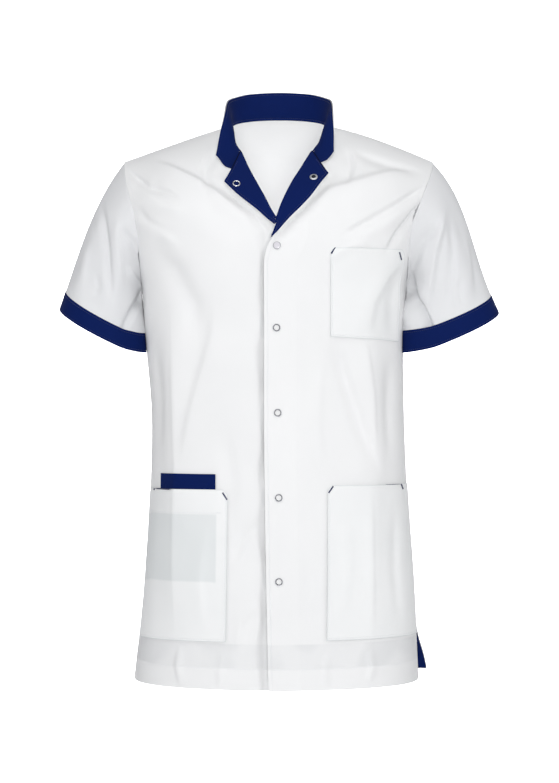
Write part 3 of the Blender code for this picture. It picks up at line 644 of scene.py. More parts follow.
COLLAR_CREASES = creases(
    Face.FRONT,
    (((-40, 26), (0, 34), (44, 27)), 0.6, 5, 8),
    (((-78, -6), (-72, 10), (-66, 26)), 0.8, 4, 7),
    (((70, -10), (72, 8), (66, 26)), 0.8, 4, 7),
)


# Cloth panels


@dataclass(frozen=True)
class Axis:
    """The line that a panel bends round, in millimetres."""

    start: tuple[float, float, float]
    end: tuple[float, float, float]

    def split(self, points: np.ndarray) -> tuple[np.ndarray, np.ndarray, np.ndarray]:
        """The line's direction, and each place's way along it and square to it.

        Args:
            points: Places in metres.

        Returns:
            The direction, the lengths along it and the offsets square to it.
        """
        start = np.array(self.start) * MM
        way = unit(np.array(self.end) * MM - start)
        apart = points - start
        along = apart @ way
        return way, along, apart - along[:, None] * way

    def outward(self, points: np.ndarray) -> np.ndarray:
        """Directions away from the line, at places in metres."""
        return unit(self.split(points)[2])

    def wrapped(self, points: np.ndarray) -> np.ndarray:
        """Cloth coordinates in metres: round the line and along it."""
        way, along, flat = self.split(points)
        across = np.cross(way, (0.0, 1.0, 0.0))
        across = unit(across if np.linalg.norm(across) > 0.3 else np.cross(way, (1.0, 0.0, 0.0)))
        depth = np.cross(way, across)
        turn = np.arctan2(flat @ across, -(flat @ depth))
        radius = float(np.median(np.linalg.norm(flat, axis=1)))
        return np.stack([turn * radius, along], axis=1)


def fading(points: np.ndarray, x: float, z: float, wide: float, high: float) -> np.ndarray:
    """Shares that fade from one at a place of the front, in X and Z, over a width and a height."""
    across, depth, height = points.T
    return np.exp(-((across - x) / wide) ** 2 - ((height - z) / high) ** 2) * (depth < 0.0)


def opening_hang(points: np.ndarray) -> np.ndarray:
    """Moves of the open neck's cloth from its solids: it hangs lower, most at the foot of the opening.

    Args:
        points: Places in millimetres.

    Returns:
        Moves in millimetres.
    """
    across, depth, height = points.T
    region = smooth((height + 185.0) / 30.0) * smooth((-38.0 - height) / 30.0)
    region = region * smooth((115.0 - np.abs(across)) / 30.0) * (depth < 0.0)
    moves = np.zeros_like(points)
    moves[:, 2] = -4.2 * region - 5.5 * fading(points, -8.0, -143.0, 26.0, 18.0)
    return moves


def crossing_hang(points: np.ndarray) -> np.ndarray:
    """The same moves for the upper lapel, whose lower tip also reaches across the lapped edge."""
    moves = opening_hang(points)
    moves[:, 0] -= 4.3 * fading(points, -8.0, -156.0, 20.0, 24.0)
    return moves


def under_hang(points: np.ndarray) -> np.ndarray:
    """The same moves for the lower lapel, whose tip reaches in under the upper one."""
    moves = opening_hang(points)
    tip = fading(points, -5.0, -136.0, 12.0, 13.0)
    moves[:, 0] += 5.0 * tip
    moves[:, 2] += 1.5 * tip
    return moves


TORSO = Axis((0, 0, -800), (0, 0, 0))
NECK = Axis((0, 22, -100), (0, 30, 100))
ARMS = {"left": Axis((196, 2, -60), (252, 4, -300)), "right": Axis((-196, 2, -60), (-254, 4, -300))}


@dataclass
class Run:
    """A stretch of a panel's edge, with the direction into the panel at each point."""

    points: np.ndarray
    inward: np.ndarray
    closed: bool = False

    @classmethod
    def all_round(cls, points: np.ndarray, inward: np.ndarray) -> "Run":
        """A whole loop, with its first point again at its end."""
        return cls(np.vstack([points, points[:1]]), np.vstack([inward, inward[:1]]), True)

    def distances(self, places: np.ndarray) -> np.ndarray:
        """How far places are from the stretch.

        Args:
            places: The places, in metres.

        Returns:
            Their distances, in millimetres.
        """
        tree = KDTree(len(self.points))
        for index, point in enumerate(self.points):
            tree.insert(point, index)
        tree.balance()
        return np.array([tree.find(place)[2] for place in places]) / MM

    def inset(self, distance_mm: float, skip_mm: float = 0.0) -> np.ndarray:
        """The stretch moved into the panel.

        Args:
            distance_mm: How far it moves.
            skip_mm: Length left out at both ends of an open stretch.

        Returns:
            The moved points, in metres.
        """
        moved = self.points + self.inward * distance_mm * MM
        if self.closed or skip_mm <= 0.0:
            return moved
        walked = lengths_along(moved)
        inside = (walked >= skip_mm * MM) & (walked <= walked[-1] - skip_mm * MM)
        return moved[inside]


@dataclass
class Rim:
    """The ordered edge loops of an open panel."""

    loops: list[tuple[np.ndarray, np.ndarray]] = field(default_factory=list)

    @classmethod
    def of(cls, piece: bpy.types.Object) -> "Rim":
        """Walks the edge loops of a piece.

        Args:
            piece: An open sheet.

        Returns:
            Its rim.
        """
        form = bmesh.new()
        form.from_mesh(piece.data)
        form.normal_update()
        # A dict keeps its order, so that every run walks the loops from the same edges.
        left = dict.fromkeys(edge for edge in form.edges if edge.is_boundary)
        rim = cls()
        while left:
            edge = next(iter(left))
            del left[edge]
            start, here = edge.verts
            order = [start, here]
            inward = [cls._inward(edge)]
            while here is not start:
                edge = next((e for e in here.link_edges if e in left), None)
                if edge is None:
                    break
                del left[edge]
                inward.append(cls._inward(edge))
                here = edge.other_vert(here)
                order.append(here)
            points = np.array([tuple(v.co) for v in order[:-1]])
            ways = np.array([tuple(w) for w in inward])
            rim.loops.append((points, unit(ways + np.roll(ways, 1, axis=0))))
        form.free()
        return rim

    @staticmethod
    def _inward(edge: bmesh.types.BMEdge) -> Vector:
        """Direction from an edge into its only face."""
        face = edge.link_faces[0]
        along = (edge.verts[1].co - edge.verts[0].co).normalized()
        way = face.calc_center_median() - (edge.verts[0].co + edge.verts[1].co) / 2.0
        return (way - along * way.dot(along)).normalized()

    def run(self, test: PerPoint) -> Run:
        """The longest stretch whose points pass a test.

        Args:
            test: Gets places in millimetres and inward directions, and says which pass.

        Returns:
            The stretch.
        """
        best = Run(np.zeros((0, 3)), np.zeros((0, 3)))
        for points, inward in self.loops:
            passed = test(points / MM, inward)
            if passed.all():
                found = Run.all_round(points, inward)
            elif not passed.any():
                continue
            else:
                shift = int(np.argmin(passed))
                order = np.roll(np.arange(len(points)), -shift)
                flags = passed[order]
                marks = np.flatnonzero(np.diff(np.concatenate([[0], flags.astype(int), [0]])))
                spans = [(end - start, start, end) for start, end in zip(marks[::2], marks[1::2])]
                _, start, end = max(spans)
                chosen = order[start:end]
                found = Run(points[chosen], inward[chosen])
            if len(found.points) > len(best.points):
                best = found
        return best


@dataclass
class Panel:
    """A cloth piece made on the outer face of its own solid."""

    name: str
    node: str
    axis: Axis
    finish: Poplin
    flat: tuple[float, float]
    area: float
    creases: tuple[Crease, ...] = ()
    slot: Slot = Slot.WHITE
    level: int = 2
    facing_in: bool = False
    bend_limit: float = 50.0
    corner: float = 30.0
    thickness: float = 0.7
    rests_on: tuple[str, ...] = ()
    hang: Callable[[np.ndarray], np.ndarray] | None = None
    piece: bpy.types.Object | None = None
    rim: Rim = field(default_factory=Rim)
    skin: BVHTree | None = None

    def shape(self, frame: dict[str, Any]) -> "Panel":
        """Copies the solid's seen face and refines it, still as an open sheet.


        Returns:
            The panel itself.
        """
        mesh = frame["nodes"][self.node].data.copy()
        mesh.name = self.name
        mesh.materials.clear()
        self.piece = add_object(self.name, mesh)
        with editing(self.piece):
            bpy.ops.mesh.remove_doubles(threshold=0.01 * MM)
            bpy.ops.mesh.customdata_custom_splitnormals_clear()
        self._keep_seen_face()
        with editing(self.piece):
            bpy.ops.mesh.mark_sharp(clear=True)
            bpy.ops.mesh.tris_convert_to_quads(face_threshold=QUAD_ANGLE, shape_threshold=QUAD_ANGLE)
        self._keep_corners()
        apply_modifier(self.piece, "SUBSURF", levels=self.level, render_levels=self.level,
                       boundary_smooth="PRESERVE_CORNERS", use_limit_surface=False)
        if self.hang is not None:
            points, _ = self.arrays()
            self.move_to(points + self.hang(points / MM) * MM)
        self.press(lambda points, normals: sum(
            (crease.relief(points, normals) for crease in self.creases), np.zeros(len(points))))
        return self

    def _keep_seen_face(self) -> None:
        """Deletes the solid's far side and rims."""
        form = bmesh.new()
        form.from_mesh(self.piece.data)
        form.normal_update()
        limit = math.radians(self.bend_limit)
        groups: list[list[bmesh.types.BMFace]] = []
        seen: set[bmesh.types.BMFace] = set()
        for first in form.faces:
            if first in seen:
                continue
            group = [first]
            seen.add(first)
            for face in group:
                for edge in face.edges:
                    if len(edge.link_faces) == 2 and edge.calc_face_angle() < limit:
                        for other in edge.link_faces:
                            if other not in seen:
                                seen.add(other)
                                group.append(other)
            groups.append(group)
        groups.sort(key=lambda group: -sum(face.calc_area() for face in group))

        def facing(group: list[bmesh.types.BMFace]) -> float:
            """How much of a group looks away from the panel's axis, by area."""
            centres = np.array([tuple(face.calc_center_median()) for face in group])
            normals = np.array([tuple(face.normal) for face in group])
            areas = np.array([face.calc_area() for face in group])
            return float(np.sum(areas * np.sum(normals * self.axis.outward(centres), axis=1)))

        ordered = sorted(groups[:2], key=facing, reverse=not self.facing_in)
        kept = set(ordered[0])
        bmesh.ops.delete(form, geom=[face for face in form.faces if face not in kept], context="FACES")
        form.to_mesh(self.piece.data)
        form.free()

    def _keep_corners(self) -> None:
        """Creases the outline's corners, so that they stay sharp when the sheet is refined."""
        form = bmesh.new()
        form.from_mesh(self.piece.data)
        layer = form.verts.layers.float.new("crease_vert")
        for vert in form.verts:
            edges = [edge for edge in vert.link_edges if edge.is_boundary]
            if len(edges) == 2:
                ways = [(edge.other_vert(vert).co - vert.co).normalized() for edge in edges]
                if ways[0].dot(ways[1]) > -math.cos(math.radians(self.corner)):
                    vert[layer] = 1.0
        form.to_mesh(self.piece.data)
        form.free()

    def arrays(self) -> tuple[np.ndarray, np.ndarray]:
        """The piece's points in metres and its normals."""
        mesh = self.piece.data
        count = len(mesh.vertices)
        points = np.zeros(count * 3, np.float32)
        mesh.vertices.foreach_get("co", points)
        normals = np.zeros(count * 3, np.float32)
        mesh.vertex_normals.foreach_get("vector", normals)
        return points.reshape(-1, 3).astype(float), normals.reshape(-1, 3).astype(float)

    def press(self, relief: PerPoint) -> None:
        """Moves the sheet along its normals.

        Args:
            relief: Gets places in millimetres and normals, and gives heights in millimetres.
        """
        points, normals = self.arrays()
        self.move_to(points + normals * relief(points / MM, normals)[:, None] * MM)

    def move_to(self, points: np.ndarray) -> None:
        """Moves the sheet's points to new places, in metres."""
        self.piece.data.vertices.foreach_set("co", points.astype(np.float32).ravel())
        self.piece.data.update()
        self.rim = Rim.of(self.piece)

    def measure(self, name: str, run: Run) -> None:
        """Keeps each point's distance from a stretch of the edge, in millimetres.

        Args:
            name: The attribute's name.
            run: The stretch.
        """
        distances = run.distances(self.arrays()[0])
        attribute = self.piece.data.attributes.new(name, "FLOAT", "POINT")
        attribute.data.foreach_set("value", distances.astype(np.float32))

    def whole_rim(self) -> Run:
        """Every edge of the panel as one stretch."""
        return Run(np.vstack([points for points, _ in self.rim.loops]),
                   np.vstack([inward for _, inward in self.rim.loops]))

    def surface(self) -> BVHTree:
        """The sheet as a tree that finds its nearest point."""
        mesh = self.piece.data
        return BVHTree.FromPolygons([v.co.copy() for v in mesh.vertices],
                                    [p.vertices[:] for p in mesh.polygons])

    def dress(self) -> None:
        self.measure("edge", self.whole_rim())
        self.skin = self.surface()
        points, _ = self.arrays()
        wrapped = self.axis.wrapped(points)
        mesh = self.piece.data
        while mesh.uv_layers:
            mesh.uv_layers.remove(mesh.uv_layers[0])
        layer = mesh.uv_layers.new(name="cloth")
        corners = np.zeros(len(mesh.loops), np.int32)
        mesh.loops.foreach_get("vertex_index", corners)
        layer.data.foreach_set("uv", wrapped[corners].astype(np.float32).ravel())
        apply_modifier(self.piece, "SOLIDIFY", thickness=self.thickness * MM, offset=-1.0)
        mesh = self.piece.data
        mesh.materials.append(self.finish.material())
        only(self.piece)
        bpy.ops.object.shade_smooth_by_angle(angle=CLOTH_ANGLE)
        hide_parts(self.node)
        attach(self.piece, BODY)
        LOG.info("%s: %d faces", self.name, len(mesh.polygons))


# Sewing


@dataclass
class Seamwork:
    """Machine stitches along lines, as one piece of thread."""

    name: str
    thread: SewingThread
    slot: Slot
    pitch: float = 3.4
    length: float = 2.7
    width: float = 0.6
    places: list[np.ndarray] = field(default_factory=list)
    ways: list[np.ndarray] = field(default_factory=list)
    ups: list[np.ndarray] = field(default_factory=list)
    lengths: list[np.ndarray] = field(default_factory=list)

    def along(self, line: np.ndarray, surface: BVHTree, outward: Callable[[np.ndarray], np.ndarray]) -> None:
        """Lays stitches end to end along a line.

        Args:
            line: Points in metres, on or near the cloth.
            surface: The cloth that they lie on.
            outward: Gives the side of the cloth that shows.
        """
        if len(line) < 2:
            return
        walked = lengths_along(line)
        count = int(walked[-1] / (self.pitch * MM))
        if count < 1:
            return
        ends = np.linspace(0.0, walked[-1], count + 1)
        marks = np.stack([np.interp(ends, walked, line[:, axis]) for axis in range(3)], axis=1)
        self.between(marks[:-1], marks[1:], surface, outward, self.length)

    def between(self, starts: np.ndarray, stops: np.ndarray, surface: BVHTree,
                outward: Callable[[np.ndarray], np.ndarray], length: float | None = None) -> None:
        """Lays one stitch between each pair of points.

        Args:
            starts: First ends, in metres.
            stops: Second ends.
            surface: The cloth that they lie on.
            outward: Gives the side of the cloth that shows.
            length: A stitch's length in millimetres, or None for the pairs' own distances.
        """
        middles = (starts + stops) / 2.0
        ways = unit(stops - starts)
        sides = outward(middles)
        for middle, way, side, start, stop in zip(middles, ways, sides, starts, stops):
            spot, normal, _, _ = surface.find_nearest(Vector(middle))
            up = np.array(normal)
            if up @ side < 0.0:
                up = -up
            lying = unit(way - (way @ up) * up)
            own = length if length is not None else np.linalg.norm(stop - start) / MM
            self.places.append(np.array(spot) + up * STITCH_LIFT * MM)
            self.ways.append(lying)
            self.ups.append(up)
            self.lengths.append(np.array(own))

    def sew(self) -> None:
        """Copies one modelled stitch to every place."""
        only()
        bpy.ops.mesh.primitive_uv_sphere_add(segments=5, ring_count=4, radius=0.5)
        pattern = bpy.context.object
        form = np.array([tuple(v.co) for v in pattern.data.vertices])
        faces = [tuple(p.vertices) for p in pattern.data.polygons]
        bpy.data.objects.remove(pattern, do_unlink=True)
        # The sphere's pole axis becomes the stitch's length, so its ends are pointed like pulled thread.
        ways = np.array(self.ways)
        ups = np.array(self.ups)
        across = np.cross(ways, ups)
        lengths = np.array(self.lengths)[:, None, None]
        points = (np.array(self.places)[:, None, :]
                  + form[None, :, 2:3] * ways[:, None, :] * lengths * MM
                  + form[None, :, 0:1] * across[:, None, :] * self.width * MM
                  + form[None, :, 1:2] * ups[:, None, :] * self.width * 0.7 * MM)
        count = len(form)
        polygons = [tuple(v + count * index for v in face) for index in range(len(ways)) for face in faces]
        mesh = bpy.data.meshes.new(self.name)
        mesh.from_pydata(points.reshape(-1, 3).tolist(), [], polygons)
        piece = add_object(self.name, mesh)
        with editing(piece):
            bpy.ops.mesh.normals_make_consistent(inside=False)
        bpy.ops.object.shade_smooth()
        mesh.materials.append(self.thread.material())
        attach(piece, BODY)
        LOG.info("%s: %d stitches", self.name, len(ways))


WHITE_THREAD = SewingThread("polyester_thread_white", "#E4E5E9")
NAVY_THREAD = SewingThread("polyester_thread_navy", "#131C50")


def fine_stitches(name: str) -> Seamwork:
    """Navy topstitching for the cuffs and the collar, a little finer than the white."""
    return Seamwork("stitches_" + name, NAVY_THREAD, Slot.NAVY, pitch=3.0, length=2.4, width=0.5)


def armhole(panel: Panel, sign: float) -> Run:
    """A body panel's armhole edge, on the side that the sign gives."""
    return panel.rim.run(lambda p, w: (p[:, 0] * sign > 165) & (p[:, 2] > -225) & (p[:, 2] < -60))


# Sub-assemblies


@dataclass
class Fronts:
    """The two fronts, lapped and snapped at the centre, with hems and doubled front edges."""

    hem_depth: float = 29.0
    shade_depth: float = 33.0
    seam_in: float = 6.0
    edge_in: float = 5.0
    overlap_depth: float = 45.0
    snap_heights: tuple[float, ...] = (-173.8, -286.0, -402.0, -517.8, -632.0)
    edge_lift: float = 2.2
    valley: float = 6.5
    panels: dict[str, Panel] = field(default_factory=dict)

    def build(self, frame: dict[str, Any]) -> None:
        """Shapes, sews and dresses both fronts.
        """
        hem_top = self.hem_depth + 1.0
        for side in SIDES:
            upper = side == "left"
            # The second hem band is painted shade: a patchy darker strip, shade_depth high, just above the
            # hem.
            bands = [Band("from_hem", BEFORE_EDGE, hem_top, 0.0),
                     Band("from_hem", hem_top, hem_top + self.shade_depth, -0.5, 0.0, soft=1.4, patchy=0.6)]
            grooves = [Groove("from_hem", self.hem_depth), Groove("from_side", self.seam_in)]
            if upper:
                bands.append(Band("from_front", BEFORE_EDGE, self.overlap_depth, 0.05, 0.12))
                grooves.append(Groove("from_front", self.edge_in))
            else:
                # Painted shadow: the under front is darkened within 7 mm of the upper front's lapped edge.
                bands.append(Band("from_lap", BEFORE_EDGE, 7.0, -0.5, 0.0))
            finish = Poplin("white_poplin_front_" + side, tuple(bands), tuple(grooves))
            panel = Panel("cloth_front_" + side, "front_" + side, TORSO, finish, (0.25, 0.81), 0.198,
                          BODY_CREASES, level=3, hang=opening_hang)
            panel.shape(frame)
            if upper:
                edge = panel.rim.run(self._in_front)
                panel.press(lambda points, normals: self._lift(points[:, 2], edge.distances(points * MM)))
                lapped_edge = panel.rim.run(self._in_front)
            else:
                panel.press(self._sink)
            panel.measure("from_front" if upper else "from_lap", lapped_edge)
            hem = panel.rim.run(lambda p, w: (w[:, 2] > 0.8) & (p[:, 2] < -740))
            panel.measure("from_hem", hem)
            panel.measure("from_side", panel.rim.run(
                lambda p, w: (np.abs(p[:, 0]) > 150) & (p[:, 2] < -230) & (np.abs(w[:, 2]) < 0.6)))
            shoulder = panel.rim.run(
                lambda p, w: (p[:, 2] > -60) & (w[:, 1] < -0.35) & (np.abs(p[:, 0]) > 70))
            lines = [hem.inset(self.hem_depth, 3.0), shoulder.inset(self.seam_in, 4.0),
                     armhole(panel, SIDES[side]).inset(self.seam_in, 4.0)]
            if upper:
                lines.append(lapped_edge.inset(self.edge_in, 4.0))
            surface = panel.surface()
            sewing = Seamwork("stitches_front_" + side, WHITE_THREAD, Slot.WHITE)
            for line in lines:
                sewing.along(line, surface, TORSO.outward)
            panel.dress()
            sewing.sew()
            self.panels[side] = panel

    @staticmethod
    def _in_front(places: np.ndarray, inward: np.ndarray) -> np.ndarray:
        """Says which points of a front's rim are on its front edge.

        Args:
            places: Places in millimetres.
            inward: Directions into the panel there.

        Returns:
            True for each point that is.
        """
        return (np.abs(places[:, 0]) < 30) & (np.abs(inward[:, 0]) > 0.6) & (places[:, 2] < -150)

    def _sink(self, points: np.ndarray, normals: np.ndarray) -> np.ndarray:
        """The under front's valley beside the lapped edge, deeper between the snaps.

        Args:
            points: Places in millimetres.
            normals: Not used.

        Returns:
            Heights in millimetres.
        """
        across, height = points[:, 0], points[:, 2]
        width = 12.0 + 3.0 * np.sin(height / 31.0) + 2.5 * np.sin(height / 13.0 + 1.0)
        depth = self.valley * (0.55 + 0.45 * smooth(self._from_snaps(height) / 40.0))
        below = smooth((-150.0 - height) / 25.0)
        return -depth * smooth((across + 19.0 + width) / width) * below

    def _lift(self, height: np.ndarray, reach: np.ndarray) -> np.ndarray:
        """The lapped edge's waves: pressed flat at each snap, standing off between them.

        Args:
            height: Each point's place in Z, in millimetres.
            reach: Each point's distance from the lapped edge, in millimetres.

        Returns:
            How far each point stands off, in millimetres.
        """
        between = smooth(self._from_snaps(height) / 45.0)
        wave = 0.65 + 0.35 * np.sin(height / 9.0) * np.sin(height / 23.0 + 0.7)
        low = smooth((height + 785.0) / 60.0)
        return self.edge_lift * between * wave * np.exp(-reach / 9.0) * low

    def _from_snaps(self, height: np.ndarray) -> np.ndarray:
        """How far each height is from the nearest snap's, in millimetres."""
        return np.min(np.abs(height[:, None] - np.array(self.snap_heights)), axis=1)


@dataclass
class Rear:
    """The back, with its hem and the navy facings of its side vents."""

    hem_depth: float = 29.0
    seam_in: float = 6.0
    panel: Panel | None = None

    def build(self, frame: dict[str, Any]) -> None:
        """Shapes, sews and dresses the back and the vents' facings.
        """
        finish = Poplin("white_poplin_back", (Band("from_hem", BEFORE_EDGE, self.hem_depth + 1.0, 0.2),),
                        (Groove("from_hem", self.hem_depth), Groove("edge", self.seam_in)))
        panel = Panel("cloth_back", "back", TORSO, finish, (0.58, 0.86), 0.379, BODY_CREASES)
        panel.shape(frame)
        hem = panel.rim.run(lambda p, w: (w[:, 2] > 0.55) & (p[:, 2] < -700))
        panel.measure("from_hem", hem)
        surface = panel.surface()
        sewing = Seamwork("stitches_back", WHITE_THREAD, Slot.WHITE)
        sewing.along(hem.inset(self.hem_depth, 3.0), surface, TORSO.outward)
        for sign in reversed(SIDES.values()):
            slit = panel.rim.run(
                lambda p, w: (p[:, 0] * sign > 150) & (p[:, 2] < -690) & (np.abs(w[:, 2]) < 0.6))
            sewing.along(slit.inset(7.0, 3.0), surface, TORSO.outward)
            sewing.along(armhole(panel, sign).inset(self.seam_in, 4.0), surface, TORSO.outward)
        panel.dress()
        sewing.sew()
        self.panel = panel
        for side in SIDES:
            facing = Panel("vent_facing_cloth_" + side, "vent_facing_" + side, TORSO,
                           navy("vent_" + side, None, 0.2), (0.019, 0.09), 0.0015,
                           slot=Slot.NAVY, facing_in=True)
            facing.shape(frame).dress()


@dataclass
class Sleeves:
    """The two sleeves and their navy cuff bands."""

    areas: dict[str, tuple[float, float]] = field(
        default_factory=lambda: {"left": (0.053, 0.012), "right": (0.05, 0.0107)})
    stitch_in: float = 3.0
    tuck: float = 17.0
    clearance: float = 0.6
    sunk: float = 1.8
    under: float = 3.0

    def build(self, frame: dict[str, Any], fronts: Fronts, rear: Rear) -> None:
        """Shapes, sews and dresses both sleeves.

        Args:
            fronts: The fronts that the sleeves lie beside.
            rear: The back that they lie beside.
        """
        for side, sign in SIDES.items():
            axis = ARMS[side]
            walls = (fronts.panels[side], rear.panel)
            sleeve_area, cuff_area = self.areas[side]
            finish = Poplin("white_poplin_sleeve_" + side, thin=SLEEVE_WHITE, base=0.12, pucker_mm=0.5)
            sleeve = Panel("cloth_sleeve_" + side, "sleeve_" + side, axis, finish, (0.42, 0.22), sleeve_area,
                           SLEEVE_CREASES, level=3)
            sleeve.shape(frame)
            self._close_seam(sleeve, sign)
            self._tuck_in(sleeve, walls)
            sleeve.dress()
            cuff = Panel("cloth_cuff_" + side, "cuff_" + side, axis,
                         navy("cuff_" + side, self.stitch_in, 0.35), (0.44, 0.03), cuff_area,
                         slot=Slot.NAVY, level=3, thickness=1.6)
            self._tuck_in(cuff.shape(frame), walls)
            surface = cuff.surface()
            sewing = fine_stitches("cuff_" + side)
            for loop in cuff.rim.loops:
                sewing.along(Run.all_round(*loop).inset(self.stitch_in), surface, axis.outward)
            cuff.dress()
            sewing.sew()

    def _close_seam(self, panel: Panel, sign: float) -> None:
        """Slips the sleeve's armhole edge a little way under the body's cloth.

        Args:
            panel: The shaped sleeve.
            sign: 1 for the wearer's left and -1 for the right.
        """
        edge = panel.rim.run(lambda p, w: (w[:, 0] * sign > 0.3) & (p[:, 0] * sign < 222.0))
        points, normals = panel.arrays()
        reach = edge.distances(points)
        share = np.exp(-(reach / 2.5) ** 2) * smooth((-130.0 - points[:, 2] / MM) / 30.0)
        points -= normals * (0.9 * share * MM)[:, None]
        points[:, 0] -= sign * self.under * share * MM
        panel.move_to(points)

    def _tuck_in(self, panel: Panel, walls: tuple[Panel, ...]) -> None:
        """Brings the underarm of a shaped sleeve or cuff in, until it touches the body's side.

        Args:
            panel: The sleeve or cuff.
            walls: The body's panels, which it stays outside of.
        """
        points, _ = panel.arrays()
        across, height = np.abs(points[:, 0]) / MM, points[:, 2] / MM
        share = smooth((220.0 - across) / 44.0) * smooth((-214.0 - height) / 36.0)
        points[:, 0] -= np.sign(points[:, 0]) * self.tuck * share * MM
        # In front the seam sinks into the side a little, and behind it the cloth stays clear of it.
        behind = smooth((points[:, 1] / MM + 25.0) / 25.0)
        rooms = panel.thickness - self.sunk + (self.clearance + self.sunk) * behind
        for index in np.flatnonzero(share > 0.0):
            room = rooms[index] * MM
            hits = [wall.skin.find_nearest(Vector(points[index])) for wall in walls]
            spot, normal, _, distance = min(hits, key=lambda hit: hit[3])
            depth = (Vector(points[index]) - spot).dot(normal)
            if distance < 0.03 and depth < room:
                points[index] += np.array(normal) * (room - depth)
        panel.move_to(points)


@dataclass(frozen=True)
class CollarPoint:
    """How far one front point of the collar is drawn down at its notch and at its outer corner.

    Its opening lists heights and how near the middle the collar may come there.
    """

    side: float
    notch_x: float
    notch_drop: float
    corner_x: float
    corner_drop: float
    inward: float = 0.0
    reach: float = 7.0
    opening: tuple[tuple[float, float], ...] = ()


@dataclass
class Collar:
    """The standing collar, white outside and navy inside, and the two open lapels."""

    stitch_in: float = 3.2
    cover: float = 3.0
    front_limit: float = 30.0
    points: tuple[CollarPoint, ...] = (
        CollarPoint(-1.0, 65.0, 16.5, 85.0, 6.4, reach=20.5,
                    opening=((-100, 29), (-75, 42.8), (-55.6, 48.5), (-44, 52.5), (-20, 56))),
        CollarPoint(1.0, 58.5, 7.0, 79.0, 4.5, 1.5))
    facings: dict[str, Panel] = field(default_factory=dict)

    def build(self, frame: dict[str, Any]) -> None:
        """Shapes, sews and dresses the collar and the lapels.
        """
        # The collar and the lapels are doubled all over, so the white ones have that tone throughout.
        doubled = (Band("edge", BEFORE_EDGE, 60.0, 0.3, 0.0),)
        finish = Poplin("white_poplin_collar", doubled, (Groove("edge", self.stitch_in),), crumple_mm=0.3)
        outer = Panel("cloth_collar_outer", "collar_outer", NECK, finish, (0.36, 0.04), 0.0142,
                      COLLAR_CREASES, level=3)
        self._draw_points(outer.shape(frame))
        outer.dress()
        inner = Panel("cloth_collar_inner", "collar_inner", NECK, navy("collar", self.stitch_in, 0.3),
                      (0.35, 0.04), 0.0139, slot=Slot.NAVY, level=3, facing_in=True)
        self._draw_points(inner.shape(frame))
        self._cover_seam(inner)
        sewing = fine_stitches("collar")
        edge = Run.all_round(*inner.rim.loops[0])
        sewing.along(edge.inset(self.stitch_in), inner.surface(), lambda p: -NECK.outward(p))
        inner.dress()
        for side, hang in zip(SIDES, (crossing_hang, under_hang)):
            finish = Poplin("white_poplin_lapel_" + side, doubled, crumple_mm=0.25)
            lapel = Panel("cloth_lapel_" + side, "lapel_" + side, TORSO, finish, (0.06, 0.12), 0.0034,
                          BODY_CREASES, rests_on=("cloth_front_" + side,), hang=hang)
            lapel.shape(frame).dress()
            finish = navy("lapel_" + side, self.stitch_in, 0.3, thin=NAVY_SEAM, base=0.9,
                          bands=(Band("from_collar", BEFORE_EDGE, 1.4, -0.9, -0.5),))
            facing = Panel("cloth_lapel_facing_" + side, "lapel_facing_" + side, TORSO, finish, (0.07, 0.13),
                           0.0051, BODY_CREASES, slot=Slot.NAVY, level=3, bend_limit=72.0,
                           rests_on=("cloth_lapel_" + side,), hang=hang)
            facing.shape(frame)
            facing.measure("from_collar", facing.rim.run(lambda p, w: (w[:, 2] < -0.2) & (p[:, 2] > -67.0)))
            run = facing.rim.run(lambda p, w: p[:, 1] < np.median(p[:, 1]) + 40.0)
            sewing.along(run.inset(self.stitch_in, 3.0), facing.surface(), TORSO.outward)
            facing.dress()
            self.facings[side] = facing
        sewing.sew()

    def _cover_seam(self, panel: Panel) -> None:
        """Lets the inner collar's lower edge reach over the neck seam at the back."""
        points, _ = panel.arrays()
        reach = panel.rim.run(lambda p, w: (w[:, 2] > 0.5) & (p[:, 1] > 0.0)).distances(points)
        points[:, 2] -= self.cover * np.exp(-(reach / 6.0) ** 2) * smooth(points[:, 1] / MM / 20.0) * MM
        panel.move_to(points)

    def _draw_points(self, panel: Panel) -> None:
        """Draws the collar's two front points down to where they show.

        Args:
            panel: The shaped collar.
        """
        points, _ = panel.arrays()
        for point in self.points:
            across, height = points[:, 0] / MM * point.side, points[:, 2] / MM
            ahead = points[:, 1] < self.front_limit * MM
            share = smooth((-6.0 - height) / 30.0) * (across > 0.0) * ahead
            corner = np.clip((across - point.notch_x) / (point.corner_x - point.notch_x), 0.0, 1.0)
            drop = point.notch_drop + (point.corner_drop - point.notch_drop) * corner
            points[:, 2] -= drop * share * MM
            front = smooth((point.notch_x + 14.0 - across) / 16.0) * smooth((-16.0 - height) / 20.0) * share
            front = front * (1.0 - 0.42 * smooth((-42.0 - height) / 14.0))
            points[:, 0] -= point.side * (point.inward * corner * share + point.reach * front) * MM
            if point.opening:
                across, height = points[:, 0] / MM * point.side, points[:, 2] / MM
                edge = np.interp(height, *np.array(point.opening).T)
                beyond = (across > 15.0) & (across < edge) & ahead
                eased = across + (edge - across) * smooth((-26.0 - height) / 16.0)
                points[beyond, 0] = point.side * eased[beyond] * MM
        panel.move_to(points)


@dataclass(frozen=True)
class Tack:
    """A navy bar of close stitches at a pocket's corner: its two ends in X and Z."""

    start: tuple[float, float]
    end: tuple[float, float]
    width: float = 2.5


@dataclass(frozen=True)
class PocketPlan:
    """One patch pocket's size, its bars, its bands and the depth of its mouth's stitch line, if it shows."""

    name: str
    side: str
    flat: tuple[float, float]
    area: float
    tacks: tuple[Tack, ...]
    bands: tuple[Band, ...] = ()
    mouth_line: float = 0.0
    closed: float = 0.3
    sunk: float = 0.0


